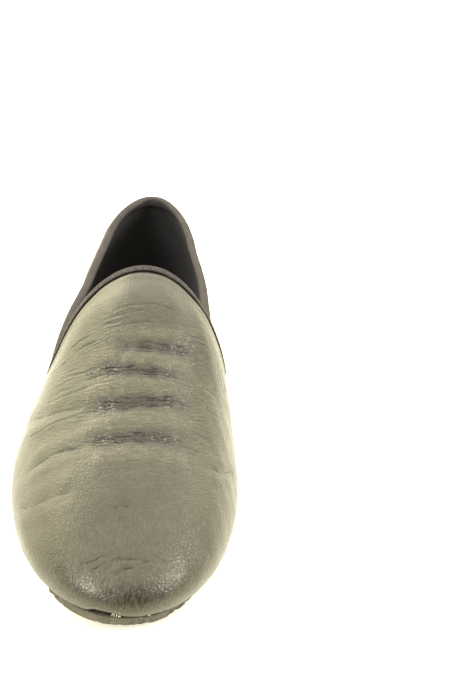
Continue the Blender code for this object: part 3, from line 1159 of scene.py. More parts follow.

        # Painted glints on the outer parts of the bands
        glint = bench.node("ShaderNodeTexVoronoi", {"Vector": bench.place(), "Scale": self.glint_scale})
        glint = bench.scaled(glint.outputs["Color"], *self.glint_span)
        outer = bench.scaled(bench.math("ABSOLUTE", bench.split()[0]), *self.glint_side_span)
        glint_highlight = bench.chain("MULTIPLY", glint, outer, band)
        # Painted shade in the folds and in the cracks of the bands, which are also made rougher there
        line = bench.scaled(fold, *self.fold_shade_span)
        crease_shade = bench.math("MAXIMUM", bench.math("MULTIPLY", groove, self.groove_shade_share), line)
        # Wear and a painted dark reflection on the toe, in streaks
        streak = bench.noise(1.0, at=bench.place(self.wear_and_reflection_stretch))
        wear_and_reflection_streaks = bench.math("MULTIPLY", wear_and_dark_reflection, bench.scaled(streak, *self.wear_and_reflection_span))

        cloud = bench.scaled(bench.noise(*self.cloud_noise), *self.cloud_span)
        mottle = bench.scaled(bench.noise(*self.mottle_noise), *self.mottle_span)
        base = bench.blend(bench.math("ADD", cloud, mottle), self.dark, self.light)
        for factor, tone in (
            # Painted highlight on the rolls
            (bench.scaled(valley, *self.ridge_highlight_span), self.ridge),
            # Painted shade in the bands
            (bench.math("MULTIPLY", band, self.band_shade_share), self.band),
            # Painted shade in the pebbles' grooves
            (bench.scaled(pebble, *self.pebble_groove_shade_span), self.trough),
            # Painted shade in the fine wrinkles
            (bench.chain("MULTIPLY", hairline_shade, flex, self.hairline_shade_share), self.trough),
            # Painted glints
            (bench.math("MULTIPLY", glint_highlight, self.glint_highlight_share), self.glint_highlight),
            # Painted shade in the folds and cracks
            (crease_shade, self.trough),
            # Wear and a painted dark reflection on the toe
            (wear_and_reflection_streaks, self.wear_and_dark_reflection),
        ):
            base = bench.blend(factor, base, tone)

        deep = bench.math("MULTIPLY", groove, self.groove_height)
        crinkle = bench.chain("MULTIPLY", creping, flex, self.creping_height)
        rough = bench.scaled(bench.noise(*self.rough_noise), *self.rough_span)
        rough = bench.math("ADD", rough, bench.math("MULTIPLY", crease_shade, self.dull_rough))
        # Less gloss where shade and the toe's dark reflection are painted, and over the bands
        matt = bench.chain("MAXIMUM", crease_shade, wear_and_reflection_streaks, bench.math("MULTIPLY", band, self.band_dull))
        bench.set(
            Base_Color=base,
            Roughness=bench.math("SUBTRACT", rough, bench.math("MULTIPLY", glint_highlight, self.glint_highlight_rough)),
            Normal=bench.bump(bench.chain("ADD", grain, deep, crinkle), self.grain_depth),
            Specular_IOR_Level=bench.scaled(matt, *self.gloss_span),
            Specular_Tint=(*self.gloss_tint, 1.0),
        )


@dataclass(frozen=True)
class Tape(Finish):
    """Dull woven tape, folded over the top edge, with a painted highlight along its fold."""

    name: str = "binding_tape"
    dark: Colour = (0.036, 0.031, 0.029)
    light: Colour = (0.056, 0.048, 0.045)
    # Painted highlight along the top fold
    top_fold_highlight_tone: Colour = (0.080, 0.073, 0.066)
    ribs_along: float = 900.0
    ribs_across: float = 46.0
    rib_depth: float = 0.00012
    wear_noise: Pair = (160.0, 4.0)
    wear_span: Span = (0.4, 0.7)
    rough_span: Span = (0.0, 1.0, 0.72, 0.6)
    gloss: float = 0.15

    def dress(self, bench: Bench) -> None:
        """Sets the shader's sockets.

        Args:
            bench: The material's node tree.
        """
        along, across, _ = bench.split(bench.place(uv=True))
        ribs = bench.ripple(along, math.tau * self.ribs_along)
        rows = bench.ripple(across, math.tau * self.ribs_across)
        weave = bench.scaled(bench.math("MULTIPLY", ribs, rows), -1.0, 1.0)
        wear = bench.scaled(bench.noise(*self.wear_noise), *self.wear_span)
        tone = bench.blend(bench.mean(weave, wear), self.dark, self.light)
        bench.set(
            Base_Color=bench.blend(bench.attribute("top_fold_highlight"), tone, self.top_fold_highlight_tone),
            Roughness=bench.scaled(wear, *self.rough_span),
            Normal=bench.bump(weave, self.rib_depth),
            Specular_IOR_Level=self.gloss,
        )


@dataclass(frozen=True)
class SoleRubber(Finish):
    """Rough-cut sole, dusty on its edge."""

    name: str = "sole_rubber"
    dark: Colour = (0.030, 0.027, 0.019)
    light: Colour = (0.100, 0.092, 0.066)
    dust_noise: Pair = (220.0, 6.0)
    crumb_noise: Pair = (1400.0, 4.0)
    crumb_depth: float = 0.0005
    tone_span: Span = (0.75, 1.3)
    rough_span: Span = (0.3, 0.7, 0.72, 0.9)

    def dress(self, bench: Bench) -> None:
        """Sets the shader's sockets.

        Args:
            bench: The material's node tree.
        """
        dust = bench.noise(*self.dust_noise)
        crumbs = bench.math("ADD", dust, bench.noise(*self.crumb_noise))
        bench.set(
            Base_Color=bench.blend(bench.scaled(crumbs, *self.tone_span), self.dark, self.light),
            Roughness=bench.scaled(dust, *self.rough_span),
            Normal=bench.bump(crumbs, self.crumb_depth),
        )


@dataclass(frozen=True)
class Cloth(Finish):
    """Dark lining or sock cloth with a fine plain weave."""

    dark: Colour = (0.0045, 0.004, 0.004)
    light: Colour = (0.012, 0.011, 0.010)
    thread_scale: float = 5200.0
    thread_depth: float = 0.0001
    weave_span: Span = (-1.5, 1.5)
    wear_noise: Pair = (60.0, 4.0)
    wear_span: Span = (0.35, 0.7)
    rough_span: Span = (0.0, 1.0, 0.95, 0.85)
    sheen: float = 0.1

    def dress(self, bench: Bench) -> None:
        """Sets the shader's sockets.

        Args:
            bench: The material's node tree.
        """
        x, y, z = (bench.ripple(place, self.thread_scale) for place in bench.split())
        weave = bench.scaled(bench.math("MULTIPLY", y, bench.math("ADD", x, z)), *self.weave_span)
        wear = bench.scaled(bench.noise(*self.wear_noise), *self.wear_span)
        bench.set(
            Base_Color=bench.blend(bench.mean(weave, wear), self.dark, self.light),
            Roughness=bench.scaled(wear, *self.rough_span),
            Normal=bench.bump(weave, self.thread_depth),
            Sheen_Weight=self.sheen,
        )


@dataclass(frozen=True)
class Thread(Finish):
    """Waxed sewing thread or a thread of dried cement."""

    roughness: float = 0.6
    twist_scale: float = 1800.0
    twist_depth: float = 0.0001
    tone_span: Span = (0.35, 0.65)

    def dress(self, bench: Bench) -> None:
        """Sets the shader's sockets.

        Args:
            bench: The material's node tree.
        """
        twist = bench.noise(self.twist_scale)
        bench.set(
            Base_Color=bench.blend(bench.scaled(twist, *self.tone_span), self.dark, self.light),
            Roughness=self.roughness,
            Normal=bench.bump(twist, self.twist_depth),
        )


class Workbench:
    """Modelling steps that the pieces share."""

    @staticmethod
    def clear_selection() -> None:
        """Deselects everything, in object mode."""
        if bpy.context.object and bpy.context.object.mode != "OBJECT":
            bpy.ops.object.mode_set(mode="OBJECT")
        bpy.ops.object.select_all(action="DESELECT")

    @classmethod
    def wrap(
        cls, name: str, form: LastForm, rings: Array, tube: bool, marks: Optional[dict[str, Array]] = None
    ) -> Piece:
        """Wraps a grid round closed rings of points and welds it shut.

        Args:
            name: Name of the piece.
            form: The last, which places the points.
            rings: Points as rings x columns x 3, in shoe millimetres.
            tube: Whether the last ring joins the first, as on a hose bent into a ring.
            marks: Values to store on the points, as rings x columns each.

        Returns:
            The closed piece, with its faces turned out.
        """
        def closed(values: Array) -> Array:
            """Repeats the first column, and the first ring of a tube, at the end."""
            values = np.concatenate([values, values[:, :1]], axis=1)
            return np.concatenate([values, values[:1]]) if tube else values

        places = closed(form.to_world(rings))
        ring_count, column_count = places.shape[:2]
        cls.clear_selection()
        bpy.ops.mesh.primitive_grid_add(
            x_subdivisions=column_count - 1, y_subdivisions=ring_count - 1, size=2.0, calc_uvs=True
        )
        piece = bpy.context.object
        piece.name = piece.data.name = name
        mesh = piece.data
        # The flat grid runs from -1 to 1, so a point's place on it gives its ring and column
        start = np.empty(len(mesh.vertices) * 3, np.float32)
        mesh.vertices.foreach_get("co", start)
        start = (start.reshape(-1, 3) + 1) / 2
        column = np.rint(start[:, 0] * (column_count - 1)).astype(int)
        ring = np.rint(start[:, 1] * (ring_count - 1)).astype(int)
        mesh.vertices.foreach_set("co", places[ring, column].astype(np.float32).ravel())
        for mark, values in (marks or {}).items():
            layer = mesh.attributes.new(mark, "FLOAT", "POINT")
            layer.data.foreach_set("value", closed(values)[ring, column].astype(np.float32))
        bpy.ops.object.mode_set(mode="EDIT")
        bpy.ops.mesh.select_all(action="SELECT")
        bpy.ops.mesh.remove_doubles(threshold=WELD_DISTANCE)
        bpy.ops.mesh.normals_make_consistent(inside=False)
        bpy.ops.object.mode_set(mode="OBJECT")
        bpy.ops.object.shade_smooth()
        return piece

    @classmethod
    def plate(
        cls, name: str, form: LastForm, loop: Array, edge: Array, bottom: Height, top: Height, inner: Span
    ) -> Piece:
        """Closes a sole or sock from its edge rings in to its own middle line, below and above.

        Args:
            name: Name of the piece.
            form: The last.
            loop: Plan loop (x, station) that the faces fill.
            edge: Edge rings as rings x columns x 3, lowest first.
            bottom: Height of the lower face at a station.
            top: Height of the upper face at a station.
            inner: Shares of the way from the middle line out to the loop.

        Returns:
            The closed piece.
        """
        half = len(loop) // 2 + 1
        lateral = loop[:half]
        medial = np.concatenate([loop[:1], loop[: half - 2 : -1]])
        middle = (lateral + medial) / 2
        centre = middle.mean(axis=0)
        middle = centre + (middle - centre) * MIDDLE_LINE_SHARE
        spine = around(middle, middle)
        plans = [spine + (loop - spine) * share for share in inner]
        below, above = (
            np.array([np.column_stack([plan, height(plan[:, 1])]) for plan in plans])
            for height in (bottom, top)
        )
        return cls.wrap(name, form, np.concatenate([below, edge, above[::-1]]), tube=False)

    @classmethod
    def bead(cls, segments: int, rings: int, radius: float) -> Piece:
        """Adds a ball about the origin, to be stretched into a stitch or a thread.

        Args:
            segments: Faces round it.
            rings: Faces from pole to pole.
            radius: Its radius in metres.

        Returns:
            The ball, selected.
        """
        cls.clear_selection()
        bpy.ops.mesh.primitive_uv_sphere_add(segments=segments, ring_count=rings, radius=radius)
        return bpy.context.object

    @classmethod
    def joined_copies(cls, name: str, pattern: Piece, places: Array, axes: Array) -> Piece:
        """One piece from many copies of a small pattern, which is then removed.

        Args:
            name: Name of the joined piece.
            pattern: The shape modelled once, about its own origin.
            places: Where each copy goes, in metres.
            axes: Each copy's x, y and z axes as rows of a 3 x 3.

        Returns:
            The joined piece.
        """
        mesh = pattern.data
        points = np.empty(len(mesh.vertices) * 3, np.float32)
        mesh.vertices.foreach_get("co", points)
        points = points.reshape(-1, 3)
        joined = (np.einsum("pk,nkj->npj", points, axes) + places[:, None]).reshape(-1, 3)
        faces = [
            tuple(corner + copy * len(points) for corner in polygon.vertices)
            for copy in range(len(places))
            for polygon in mesh.polygons
        ]
        made = bpy.data.meshes.new(name)
        made.from_pydata(joined.tolist(), [], faces)
        piece = bpy.data.objects.new(name, made)
        bpy.context.scene.collection.objects.link(piece)
        bpy.data.objects.remove(pattern)
        cls.clear_selection()
        piece.select_set(True)
        bpy.context.view_layer.objects.active = piece
        bpy.ops.object.shade_smooth()
        return piece

    @staticmethod
    def fit(piece: Piece, finish: Finish, slot: str, node: Optional[str] = None) -> Piece:
        """Dresses a piece, ties it to the frame and reports it.

        Args:
            piece: The finished mesh.
            finish: Its finish.
            slot: Not used.
            node: The solid that it stands for, if any.

        Returns:
            The same piece.
        """
        piece.data.materials.clear()
        piece.data.materials.append(finish.material())
        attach(piece, BODY)
        if node:
            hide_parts(node)
        LOG.info("%s: %d faces", piece.name, len(piece.data.polygons))
        return piece


@dataclass
class Upper:
    """The leather upper in one piece, with its cloth lining."""

    net: WallNet
    creases: CreaseField
    leather: Leather = Leather()
    lining: Cloth = Cloth("lining_cloth")

    # Rows of points, closer together between two shares of the way up
    wall_rows: int = 250
    share_steps: int = 2000
    flex_shares: Pair = (0.33, 0.87)
    flex_blend: float = 0.06
    flex_density: float = 2.2
    tuck_rows: int = 10
    margin_rows: int = 3
    inner_low_rows: int = 7
    inner_rows: int = 20

    # Layers, as depths below the outer face
    inner_relief: float = 0.35
    rim_lift: float = 0.2
    leather_thickness: float = 1.0
    lining_outside: float = 1.35
    lining_step: int = 2

    # Pull of the tape as a ridge (height, distance below it, width) and a dip (depth, width)
    binding_foot: float = 4.6
    low_fade: float = 6.0
    pull_ridge: Triple = (0.4, 2.6, 2.2)
    pull_dip: Pair = (0.35, 0.9)

    # Slit at the toe, with its (start, run) along the foot
    toe_slit_x: float = -3.4
    toe_slit_half_width: float = 7.8
    toe_slit_lift: float = 1.9
    toe_slit_station: Pair = (248.0, 10.0)
    toe_slit_fade: float = 5.0
    toe_slit_ends: Pair = (0.45, 1.1)

    # Wear and a painted dark reflection on the toe as (middle, width) across and up, and (start, run) along
    # the foot
    wear_and_reflection_x: Pair = (3.0, 11.0)
    wear_and_reflection_z: Pair = (19.0, 4.5)
    wear_and_reflection_station: Pair = (250.0, 12.0)
    rub_share: float = 0.25
    rub_station: Pair = (215.0, 40.0)
    rub_width: float = 26.0

    # Slight unevenness as (height, two waves), each wave as (rate of x, of station, of z, phase)
    UNEVEN: ClassVar = (
        (0.12, (0.21, 0.13, 0.0, 0.0), (0.0, 0.17, -0.11, 0.7)),
        (0.07, (0.43, -0.31, 0.0, 1.9), (0.0, 0.23, 0.29, 0.0)),
    )

    @cached_property
    def shares(self) -> Array:
        """Shares of the way up the wall, one for each row, closer together where the vamp bends."""
        fine = np.linspace(0.0, 1.0, self.share_steps)
        start, end = self.flex_shares
        dense = ease((fine - start) / self.flex_blend + 0.5) * ease((end - fine) / self.flex_blend + 0.5)
        count = np.cumsum(1 + (self.flex_density - 1) * dense)
        count = (count - count[0]) / (count[-1] - count[0])
        return np.interp(np.linspace(0.0, 1.0, self.wall_rows), count, fine)

    def rows(self) -> Array:
        """Outer face without its relief, from the margin's edge up to the top edge.

        Returns:
            Points as rows x columns x 3.
        """
        wall = self.net.wall(self.shares[:, None] * self.net.lengths)
        below = self.net.underside(wall[0], self.margin_rows, self.tuck_rows)
        return self.net.form.lean(np.concatenate([below, wall]))

    def relief(self, rows: Array) -> dict[str, Array]:
        """Heights of the folds, the bands, the rolls and the rest of the surface, each on its own.

        Args:
            rows: Outer face.

        Returns:
            Heights along its normals, by name.
        """
        wall = rows[-self.wall_rows:]
        down = self.net.lengths * (1 - self.shares[:, None])
        uneven = sum(
            height * np.prod([np.sin(wall @ rates + phase) for *rates, phase in waves], axis=0)
            for height, *waves in self.UNEVEN
        )
        foot = self.binding_foot * self.net.tape_share
        fade = ease(down / foot) * ease((self.net.lengths - down) / self.low_fade)
        ridge, below_tape, width = self.pull_ridge
        dip, dip_width = self.pull_dip
        pulled = ridge * bell(down - foot - below_tape, width) - dip * bell(down - foot, dip_width)
        lines = {
            "fold": (*self.creases.FOLDS, *self.creases.TOE_ARCS, *self.creases.small()),
            "valley": self.creases.BANDS,
            "roll": self.creases.ROLLS,
        }
        parts = {name: fade * self.creases.relief(wall, kind) for name, kind in lines.items()}
        parts["body"] = pulled + fade * uneven
        below = np.zeros((len(rows) - len(wall), rows.shape[1]))
        return {name: np.concatenate([below, part]) for name, part in parts.items()}

    def open_toe(self, rows: Array) -> Array:
        """Lifts the feather line at the toe, where the leather has come away from the sole.

        Args:
            rows: Outer face.

        Returns:
            The face with its slit.
        """
        lifted = rows.copy()
        under = slice(0, self.margin_rows + self.tuck_rows)
        x, station, z = np.moveaxis(rows[under], -1, 0)
        place = (x - self.toe_slit_x) / self.toe_slit_half_width
        low = np.clip((self.net.form.last("widest_z", station) - z) / self.toe_slit_fade, 0.0, 1.0)
        left, right = self.toe_slit_ends
        opening = ease((1 + place) / left) * ease((1 - place) / right)
        lifted[under, :, 2] += self.toe_slit_lift * opening * ramp(station, *self.toe_slit_station) * low
        return lifted

    def wear_and_dark_reflection_shares(self, rows: Array) -> Array:
        """Wear and a painted dark reflection on the toe, strong on its tip and slight over its top.

        Args:
            rows: Outer face.

        Returns:
            Shares from 0 to 1, as rows x columns.
        """
        x, station, z = np.moveaxis(rows, -1, 0)
        (middle_x, width), (middle_z, height) = self.wear_and_reflection_x, self.wear_and_reflection_z
        tip = bell(x - middle_x, width) * bell(z - middle_z, height) * ramp(station, *self.wear_and_reflection_station)
        return np.maximum(tip, self.rub_share * ramp(station, *self.rub_station) * bell(x, self.rub_width))

    def shell(
        self, name: str, outer: Array, inner: Array, marks: Optional[dict[str, Array]] = None
    ) -> Piece:
        """One closed layer between an outer and an inner face, rounded over at the top edge.

        Args:
            name: Name of the piece.
            outer: Rows of the outer face, lowest first.
            inner: Rows of the inner face, lowest first.
            marks: Values stored on the outer rows' points.

        Returns:
            The layer.
        """
        rim = (outer[-1:] + inner[-1:]) / 2 + self.rim_lift * unit(outer[-1:] - outer[-2:-1])
        rings = np.concatenate([outer, rim, inner[::-1]])
        rest = np.zeros((len(rings) - len(outer), rings.shape[1]))
        padded = {mark: np.concatenate([values, rest]) for mark, values in (marks or {}).items()}
        return Workbench.wrap(name, self.net.form, rings, tube=True, marks=padded)

    def build(self) -> list[Piece]:
        """Builds the leather and the lining.

        Returns:
            Both pieces.
        """
        rows = self.open_toe(self.rows())
        normals = row_normals(rows)
        parts = self.relief(rows)
        relief = sum(parts.values())
        marks = {
            "fold": -parts["fold"],
            "valley": -parts["valley"],
            "flex": self.creases.flex(rows),
            # Wear and a painted dark reflection on the toe
            "wear_and_dark_reflection": self.wear_and_dark_reflection_shares(rows),
        }
        below = self.margin_rows + self.tuck_rows
        low = np.linspace(0, below, self.inner_low_rows).astype(int)
        high = np.linspace(below, len(rows) - 1, self.inner_rows).astype(int)
        picked = np.unique(np.concatenate([low, high]))
        outer = rows + normals * relief[..., None]
        sunk = (self.inner_relief * relief[picked] - self.leather_thickness)[..., None]
        leather = self.shell("upper_leather", outer, rows[picked] + normals[picked] * sunk, marks)
        thin = np.ix_(picked, np.arange(0, rows.shape[1], self.lining_step))
        faces = (rows[thin] - normals[thin] * depth for depth in (self.lining_outside, self.net.form.wall))
        return [
            Workbench.fit(leather, self.leather, "upper_leather", "upper"),
            Workbench.fit(self.shell("upper_lining", *faces), self.lining, "insole_cloth"),
        ]


@dataclass
class Binding:
    """Tape folded over the whole top edge, with one row of stitches."""

    net: WallNet
    tape: Tape = Tape()
    thread: Thread = Thread("binding_thread", (0.020, 0.019, 0.018), (0.060, 0.056, 0.050))
    # Share of the painted highlight along the tape's top fold
    top_fold_highlight: float = 0.2
    crown_height: float = 1.0
    crown_width: float = 0.5
    stitch_pitch: float = 3.0
    stitch_length: float = 2.1
    stitch_radius: float = 0.28
    stitch_flatness: float = 0.8
    stitch_depth: float = 3.5
    stitch_out: float = 0.86
    stitch_segments: int = 6
    stitch_rings: int = 5

    # Section of the tape as (depth below the top edge, distance out from the leather's face)
    SECTION: ClassVar = (
        (4.6, 0.34), (4.66, 0.62), (4.4, 0.88), (4.0, 0.96), (3.5, 0.78), (3.0, 0.98), (2.2, 1.06),
        (1.2, 1.10), (0.4, 1.06), (-0.3, 0.90), (-0.75, 0.50), (-0.98, -0.10), (-1.04, -0.9),
        (-0.98, -1.7), (-0.75, -2.3), (-0.3, -2.7), (0.4, -2.84), (1.6, -2.86), (2.8, -2.82),
        (3.8, -2.7), (4.0, -2.45), (4.0, -2.14), (2.2, -2.1), (0.4, -2.1), (-0.3, -1.9),
        (-0.3, 0.1), (0.4, 0.3), (2.2, 0.3),
    )
    # Depths below a line of the tape at which the leather's slope is read
    SLOPE_DEPTHS: ClassVar = (0.8, 0.4, 0.0)

    def ring(self, depth: float, out: float) -> Array:
        """Points along the top edge at one place of the tape's section.

        Args:
            depth: Depth below the top edge, or height over it if negative.
            out: Distance from the leather's outer face.

        Returns:
            Points of the closed line.
        """
        level = max(depth, 0.0) * self.net.tape_share
        rows = self.net.below_top(np.stack([level + step for step in self.SLOPE_DEPTHS]))
        line = rows[-1] + unit(rows[-1] - rows[-2]) * max(-depth, 0.0)
        return line + row_normals(rows)[-1] * out

    def stitches(self) -> Piece:
        """One row of short stitches near the tape's lower edge.

        Returns:
            All stitches as one piece.
        """
        to_world = self.net.form.to_world
        line = self.ring(self.stitch_depth, self.stitch_out)
        outward = unit(self.ring(self.stitch_depth, self.stitch_out + 1.0) - line)
        run = run_lengths(np.concatenate([line, line[:1]]))
        count = int(run[-1] / self.stitch_pitch)
        at = (np.arange(count) + 0.5) * run[-1] / count

        def read(points: Array, where: Array) -> Array:
            """Points of a closed line at lengths along it, in the frame."""
            axes = np.concatenate([points, points[:1]]).T
            return to_world(np.column_stack([np.interp(where % run[-1], run, axis) for axis in axes]))

        place = read(line, at)
        along = unit(read(line, at + self.stitch_pitch / 4) - place)
        side = unit(np.cross(unit(read(line + outward, at) - place), along))
        pattern = Workbench.bead(self.stitch_segments, self.stitch_rings, self.stitch_radius * MM)
        bpy.ops.object.mode_set(mode="EDIT")
        bpy.ops.mesh.select_all(action="SELECT")
        bpy.ops.transform.rotate(value=math.pi / 2, orient_axis="Y", center_override=(0.0, 0.0, 0.0))
        longer = self.stitch_length / (2 * self.stitch_radius)
        bpy.ops.transform.resize(value=(longer, 1.0, self.stitch_flatness), center_override=(0.0, 0.0, 0.0))
        bpy.ops.object.mode_set(mode="OBJECT")
        axes = np.stack([along, side, np.cross(along, side)], axis=1)
        return Workbench.joined_copies("binding_stitches", pattern, place, axes)

    def build(self) -> list[Piece]:
        """Builds the tape and its stitches.

        Returns:
            Both pieces.
        """
        rings = np.array([self.ring(depth, out) for depth, out in self.SECTION])
        depths = np.array([depth for depth, _ in self.SECTION])
        # Painted highlight along the tape's top fold
        crown = self.top_fold_highlight * bell(np.minimum(depths, 0.0) + self.crown_height, self.crown_width)
        marks = {"top_fold_highlight": np.repeat(crown[:, None], rings.shape[1], axis=1)}
        tape = Workbench.wrap("topline_tape", self.net.form, rings, tube=True, marks=marks)
        return [
            Workbench.fit(tape, self.tape, "binding_tape", "topline_binding"),
            Workbench.fit(self.stitches(), self.thread, "binding_tape"),
        ]


@dataclass
class ToeCement:
    """Threads of dried cement across the slit at the toe."""

    form: LastForm
    cement: Thread = Thread("dried_cement", (0.50, 0.45, 0.32), (0.80, 0.75, 0.58), 0.4)
    side_steps: int = 420
    toe_share: float = 0.9
    foot_ahead: float = 0.35
    head_back: float = 0.3
    overlap: float = 1.1
    bead_steps: int = 8

    # Each thread as (x, sideways lean, height, radius)
    THREADS: ClassVar = (
        (-2.0, 0.3, 2.3, 0.10), (-1.2, -0.4, 2.4, 0.13), (-0.5, 0.2, 2.4, 0.16), (0.3, 0.5, 1.2, 0.22),
        (1.0, -0.3, 2.2, 0.09), (10.2, 0.3, 0.6, 0.26), (10.7, -0.2, 0.5, 0.2),
    )

    def build(self) -> list[Piece]:
        """Builds the threads as stretched beads.

        Returns:
            The piece, in a list.
        """
        x, lean, height, radius = np.asarray(self.THREADS).T
        loop = self.form.plate_loop(0.0, False, self.side_steps)
        toe = loop[loop[:, 1] > self.toe_share * self.form.length]
        toe = toe[np.argsort(toe[:, 0])]
        station = np.interp(x, toe[:, 0], toe[:, 1])
        foot = np.column_stack([x, station + self.foot_ahead, self.form.sole_top(station)])
        foot = self.form.to_world(foot)
        head = foot + np.column_stack([lean, np.full_like(lean, self.head_back), height]) * MM
        along = (head - foot) / 2
        thick = radius[:, None] * MM
        side = unit(np.cross(along, (0.0, 1.0, 0.0))) * thick
        deep = unit(np.cross(along, side)) * thick
        bead = Workbench.bead(self.bead_steps, self.bead_steps, 1.0)
        axes = np.stack([side, deep, self.overlap * along], axis=1)
        threads = Workbench.joined_copies("cement_threads", bead, (foot + head) / 2, axes)
        return [Workbench.fit(threads, self.cement, "sole_rubber")]


@dataclass
class Outsole:
    """Thin full-length sole with a rough-cut edge."""

    form: LastForm
    rubber: SoleRubber = SoleRubber()
    side_steps: int = 420
    face_inset: float = 1.4
    ragged: float = 0.12
    toe_ragged: float = 0.85
    toe_ragged_station: Pair = (225.0, 30.0)
    most_out: float = 0.4

    # Widths of the edge's bumps in points, their shares, and how much passes on to the next ring up
    long_bump: float = 5.0
    short_bump: float = 1.1
    bump_reach: int = 4
    long_share: float = 0.5
    short_share: float = 0.6
    passed_on: float = 0.5
    added: float = 0.6

    # Edge as (share of the thickness, distance out from the outline), lowest first
    EDGE: ClassVar = (
        (0.0, -0.9), (0.03, -0.45), (0.12, -0.12), (0.3, 0.0), (0.5, -0.06), (0.7, 0.0),
        (0.86, 0.05), (0.95, -0.08), (1.0, -0.4), (1.0, -1.1),
    )
    INNER_SHARES: ClassVar = (0.0, 0.3, 0.55, 0.75, 0.9, 0.965)

    def roughness(self, draw: np.random.Generator, count: int, spread: float) -> Array:
        """Seeded uneven cut round a closed edge.

        Args:
            draw: Source of the random numbers.
            count: Points round the edge.
            spread: Width of one bump, in points.

        Returns:
            Heights with a spread of about 1.
        """
        far = int(self.bump_reach * spread)
        kernel = bell(np.arange(-far, far + 1), spread * math.sqrt(2))
        wave = np.convolve(np.pad(draw.normal(size=count), far, mode="wrap"), kernel, mode="valid")
        return wave / wave.std()

    def build(self) -> list[Piece]:
        """Builds the sole.

        Returns:
            The piece, in a list.
        """
        form = self.form
        draw = np.random.default_rng(EDGE_SEED)
        loop = form.plate_loop(0.0, True, self.side_steps)
        inward = form.inward(loop)
        near_toe = ramp(loop[:, 1], *self.toe_ragged_station)
        size = self.ragged + (self.toe_ragged - self.ragged) * near_toe
        long_wave = self.roughness(draw, len(loop), self.long_bump)
        rings = []
        wave = np.zeros(len(loop))
        for share, out in self.EDGE:
            wave = self.passed_on * wave + self.added * self.roughness(draw, len(loop), self.short_bump)
            cut = size * (self.short_share * wave + self.long_share * long_wave)
            plan = loop - inward * (out + np.minimum(cut, self.most_out))[:, None]
            z = form.sole("ground", plan[:, 1]) + share * form.sole("thickness", plan[:, 1])
            rings.append(np.column_stack([plan, z]))
        sole = Workbench.plate(
            "outsole_rubber", form, loop + inward * self.face_inset, np.array(rings),
            lambda station: form.sole("ground", station), form.sole_top, self.INNER_SHARES,
        )
        return [Workbench.fit(sole, self.rubber, "sole_rubber", "outsole")]


@dataclass
class Insole:
    """Thin sock on the inside bottom."""

    form: LastForm
    cloth: Cloth = Cloth("insole_cloth", (0.005, 0.0045, 0.004), (0.013, 0.012, 0.011))
    thickness: float = 2.0
    inset: float = 1.6
    face_inset: float = 0.9
    side_steps: int = 110

    # Edge as (share of the thickness, distance out from the outline), lowest first
    EDGE: ClassVar = ((0.0, -0.5), (0.2, -0.1), (0.5, 0.0), (0.8, -0.1), (1.0, -0.6))
    INNER_SHARES: ClassVar = (0.0, 0.35, 0.65, 0.85, 0.95)

    def build(self) -> list[Piece]:
        """Builds the sock.

        Returns:
            The piece, in a list.
        """
        form = self.form
        loop = form.plate_loop(-self.inset, False, self.side_steps)
        inward = form.inward(loop)

        def bottom(station: Array) -> Array:
            """Lower face, on the turned-in leather."""
            return form.feather_height(station) + form.wall + form.gap

        rings = []
        for share, out in self.EDGE:
            plan = loop - inward * out
            rings.append(np.column_stack([plan, bottom(plan[:, 1]) + share * self.thickness]))
        sock = Workbench.plate(
            "insole_sock", form, loop + inward * self.face_inset, np.array(rings),
            bottom, lambda station: bottom(station) + self.thickness, self.INNER_SHARES,
        )
        return [Workbench.fit(sock, self.cloth, "insole_cloth", "insole")]


@dataclass(frozen=True)
class Lamp:
    """A far soft lamp, placed by its bearing from the shoe, with its angles in degrees."""

    name: str
    bearing: float
    height: float
    breadth: float
    strength: float
    tint: Colour


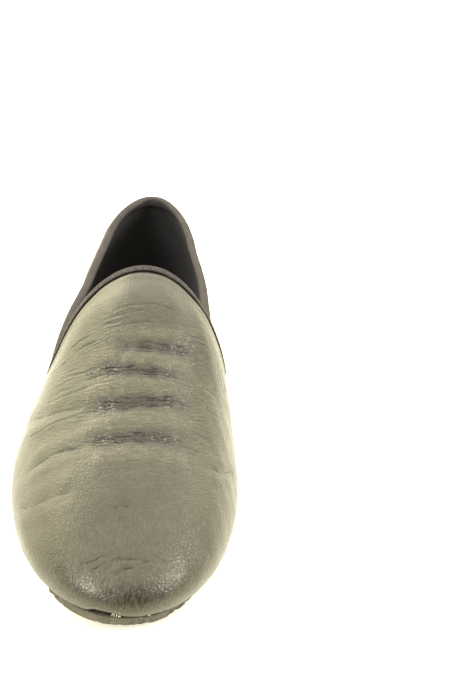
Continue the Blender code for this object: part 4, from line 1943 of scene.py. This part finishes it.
@dataclass
class Studio:
    """Pale floor, soft lamps and the camera."""

    floor_size: float = 14.0
    floor_white: Colour = (0.92, 0.90, 0.76)
    floor_shade: float = 0.97
    floor_noise: Pair = (30.0, 3.0)
    floor_span: Span = (0.3, 0.7)
    floor_roughness: float = 0.9
    floor_glow: float = 0.3
    warmth: Colour = (1.0, 0.965, 0.87)
    surround_strength: float = 0.55
    lamp_distance: float = 2.0
    camera_place: Triple = (-0.0049, -0.3514, 0.2306)
    camera_target: Triple = (0.0459, 0.0307, 0.0300)
    camera_roll: float = 9.36
    camera_lens: float = 45.35
    camera_sensor: float = 36.0
    camera_clip: float = 0.01

    SOFTBOX_TINT: ClassVar = (1.0, 0.98, 0.95)
    WALL_TINT: ClassVar = (1.0, 0.95, 0.64)
    # Bearings run from the heel's side (+Y) towards the inner side (+X)
    LAMPS: ClassVar = (
        Lamp("overhead", 0.0, 76.0, 110.0, 6.8, (1.0, 0.955, 0.83)),
        Lamp("left_softbox", -133.0, 34.0, 22.0, 2.3, SOFTBOX_TINT),
        Lamp("right_softbox", 104.0, 32.0, 20.0, 2.0, SOFTBOX_TINT),
        Lamp("left_wall", -58.0, 14.0, 76.0, 5.3, WALL_TINT),
        Lamp("right_wall", 54.0, 10.0, 56.0, 1.6, WALL_TINT),
    )

    def floor(self) -> None:
        """Lays the pale floor under the shoe."""
        Workbench.clear_selection()
        bpy.ops.mesh.primitive_plane_add(size=self.floor_size, location=(0.0, 0.0, 0.0))
        floor = bpy.context.object
        floor.name = "floor"
        bench = Bench("pale_floor")
        speck = bench.scaled(bench.noise(*self.floor_noise), *self.floor_span)
        shade = tuple(self.floor_shade * part for part in self.floor_white)
        bench.set(
            Base_Color=bench.blend(speck, self.floor_white, shade),
            Roughness=self.floor_roughness,
            Emission_Color=(*self.warmth, 1.0),
            Emission_Strength=self.floor_glow,
        )
        floor.data.materials.append(bench.material)

    def light(self) -> None:
        """Sets the dim surround and the soft lamps."""
        world = bpy.data.worlds.new("studio_surround")
        world.use_nodes = True
        background = world.node_tree.nodes["Background"]
        background.inputs["Color"].default_value = (*self.warmth, 1.0)
        background.inputs["Strength"].default_value = self.surround_strength
        bpy.context.scene.world = world
        for lamp in self.LAMPS:
            bearing, height = math.radians(lamp.bearing), math.radians(lamp.height)
            level = math.cos(height)
            toward = Vector((math.sin(bearing) * level, math.cos(bearing) * level, math.sin(height)))
            bpy.ops.object.light_add(type="SUN", location=toward * self.lamp_distance)
            light = bpy.context.object
            light.name = lamp.name
            light.data.angle = math.radians(lamp.breadth)
            light.data.energy = lamp.strength
            light.data.color = lamp.tint
            light.rotation_euler = toward.to_track_quat("Z", "Y").to_euler()

    def camera(self) -> None:
        """Places the camera at the photograph's angle to the shoe."""
        bpy.ops.object.camera_add(location=self.camera_place)
        camera = bpy.context.object
        camera.name = "camera"
        toward = Vector(self.camera_target) - Vector(self.camera_place)
        roll = Quaternion((0.0, 0.0, 1.0), math.radians(self.camera_roll))
        camera.rotation_mode = "QUATERNION"
        camera.rotation_quaternion = toward.to_track_quat("-Z", "Y") @ roll
        camera.data.sensor_fit = "AUTO"
        camera.data.sensor_width = self.camera_sensor
        camera.data.lens = self.camera_lens
        camera.data.clip_start = self.camera_clip
        bpy.context.scene.camera = camera

    def build(self) -> None:
        """Builds the studio round the shoe."""
        self.floor()
        self.light()
        self.camera()
        bpy.context.scene.view_settings.view_transform = "Standard"


def main() -> None:
    """Builds the shoe's pieces in order and reports each one."""
    logging.basicConfig(level=logging.INFO, format="%(name)s: %(message)s")
    form = LastForm()
    net = WallNet(form)
    assemblies = (Outsole(form), ToeCement(form), Insole(form), Upper(net, CreaseField(form)), Binding(net))
    pieces = [piece for assembly in assemblies for piece in assembly.build()]
    Studio().build()
    LOG.info("%d pieces on body %s", len(pieces), BODY)


if __name__ == "__main__":
    main()
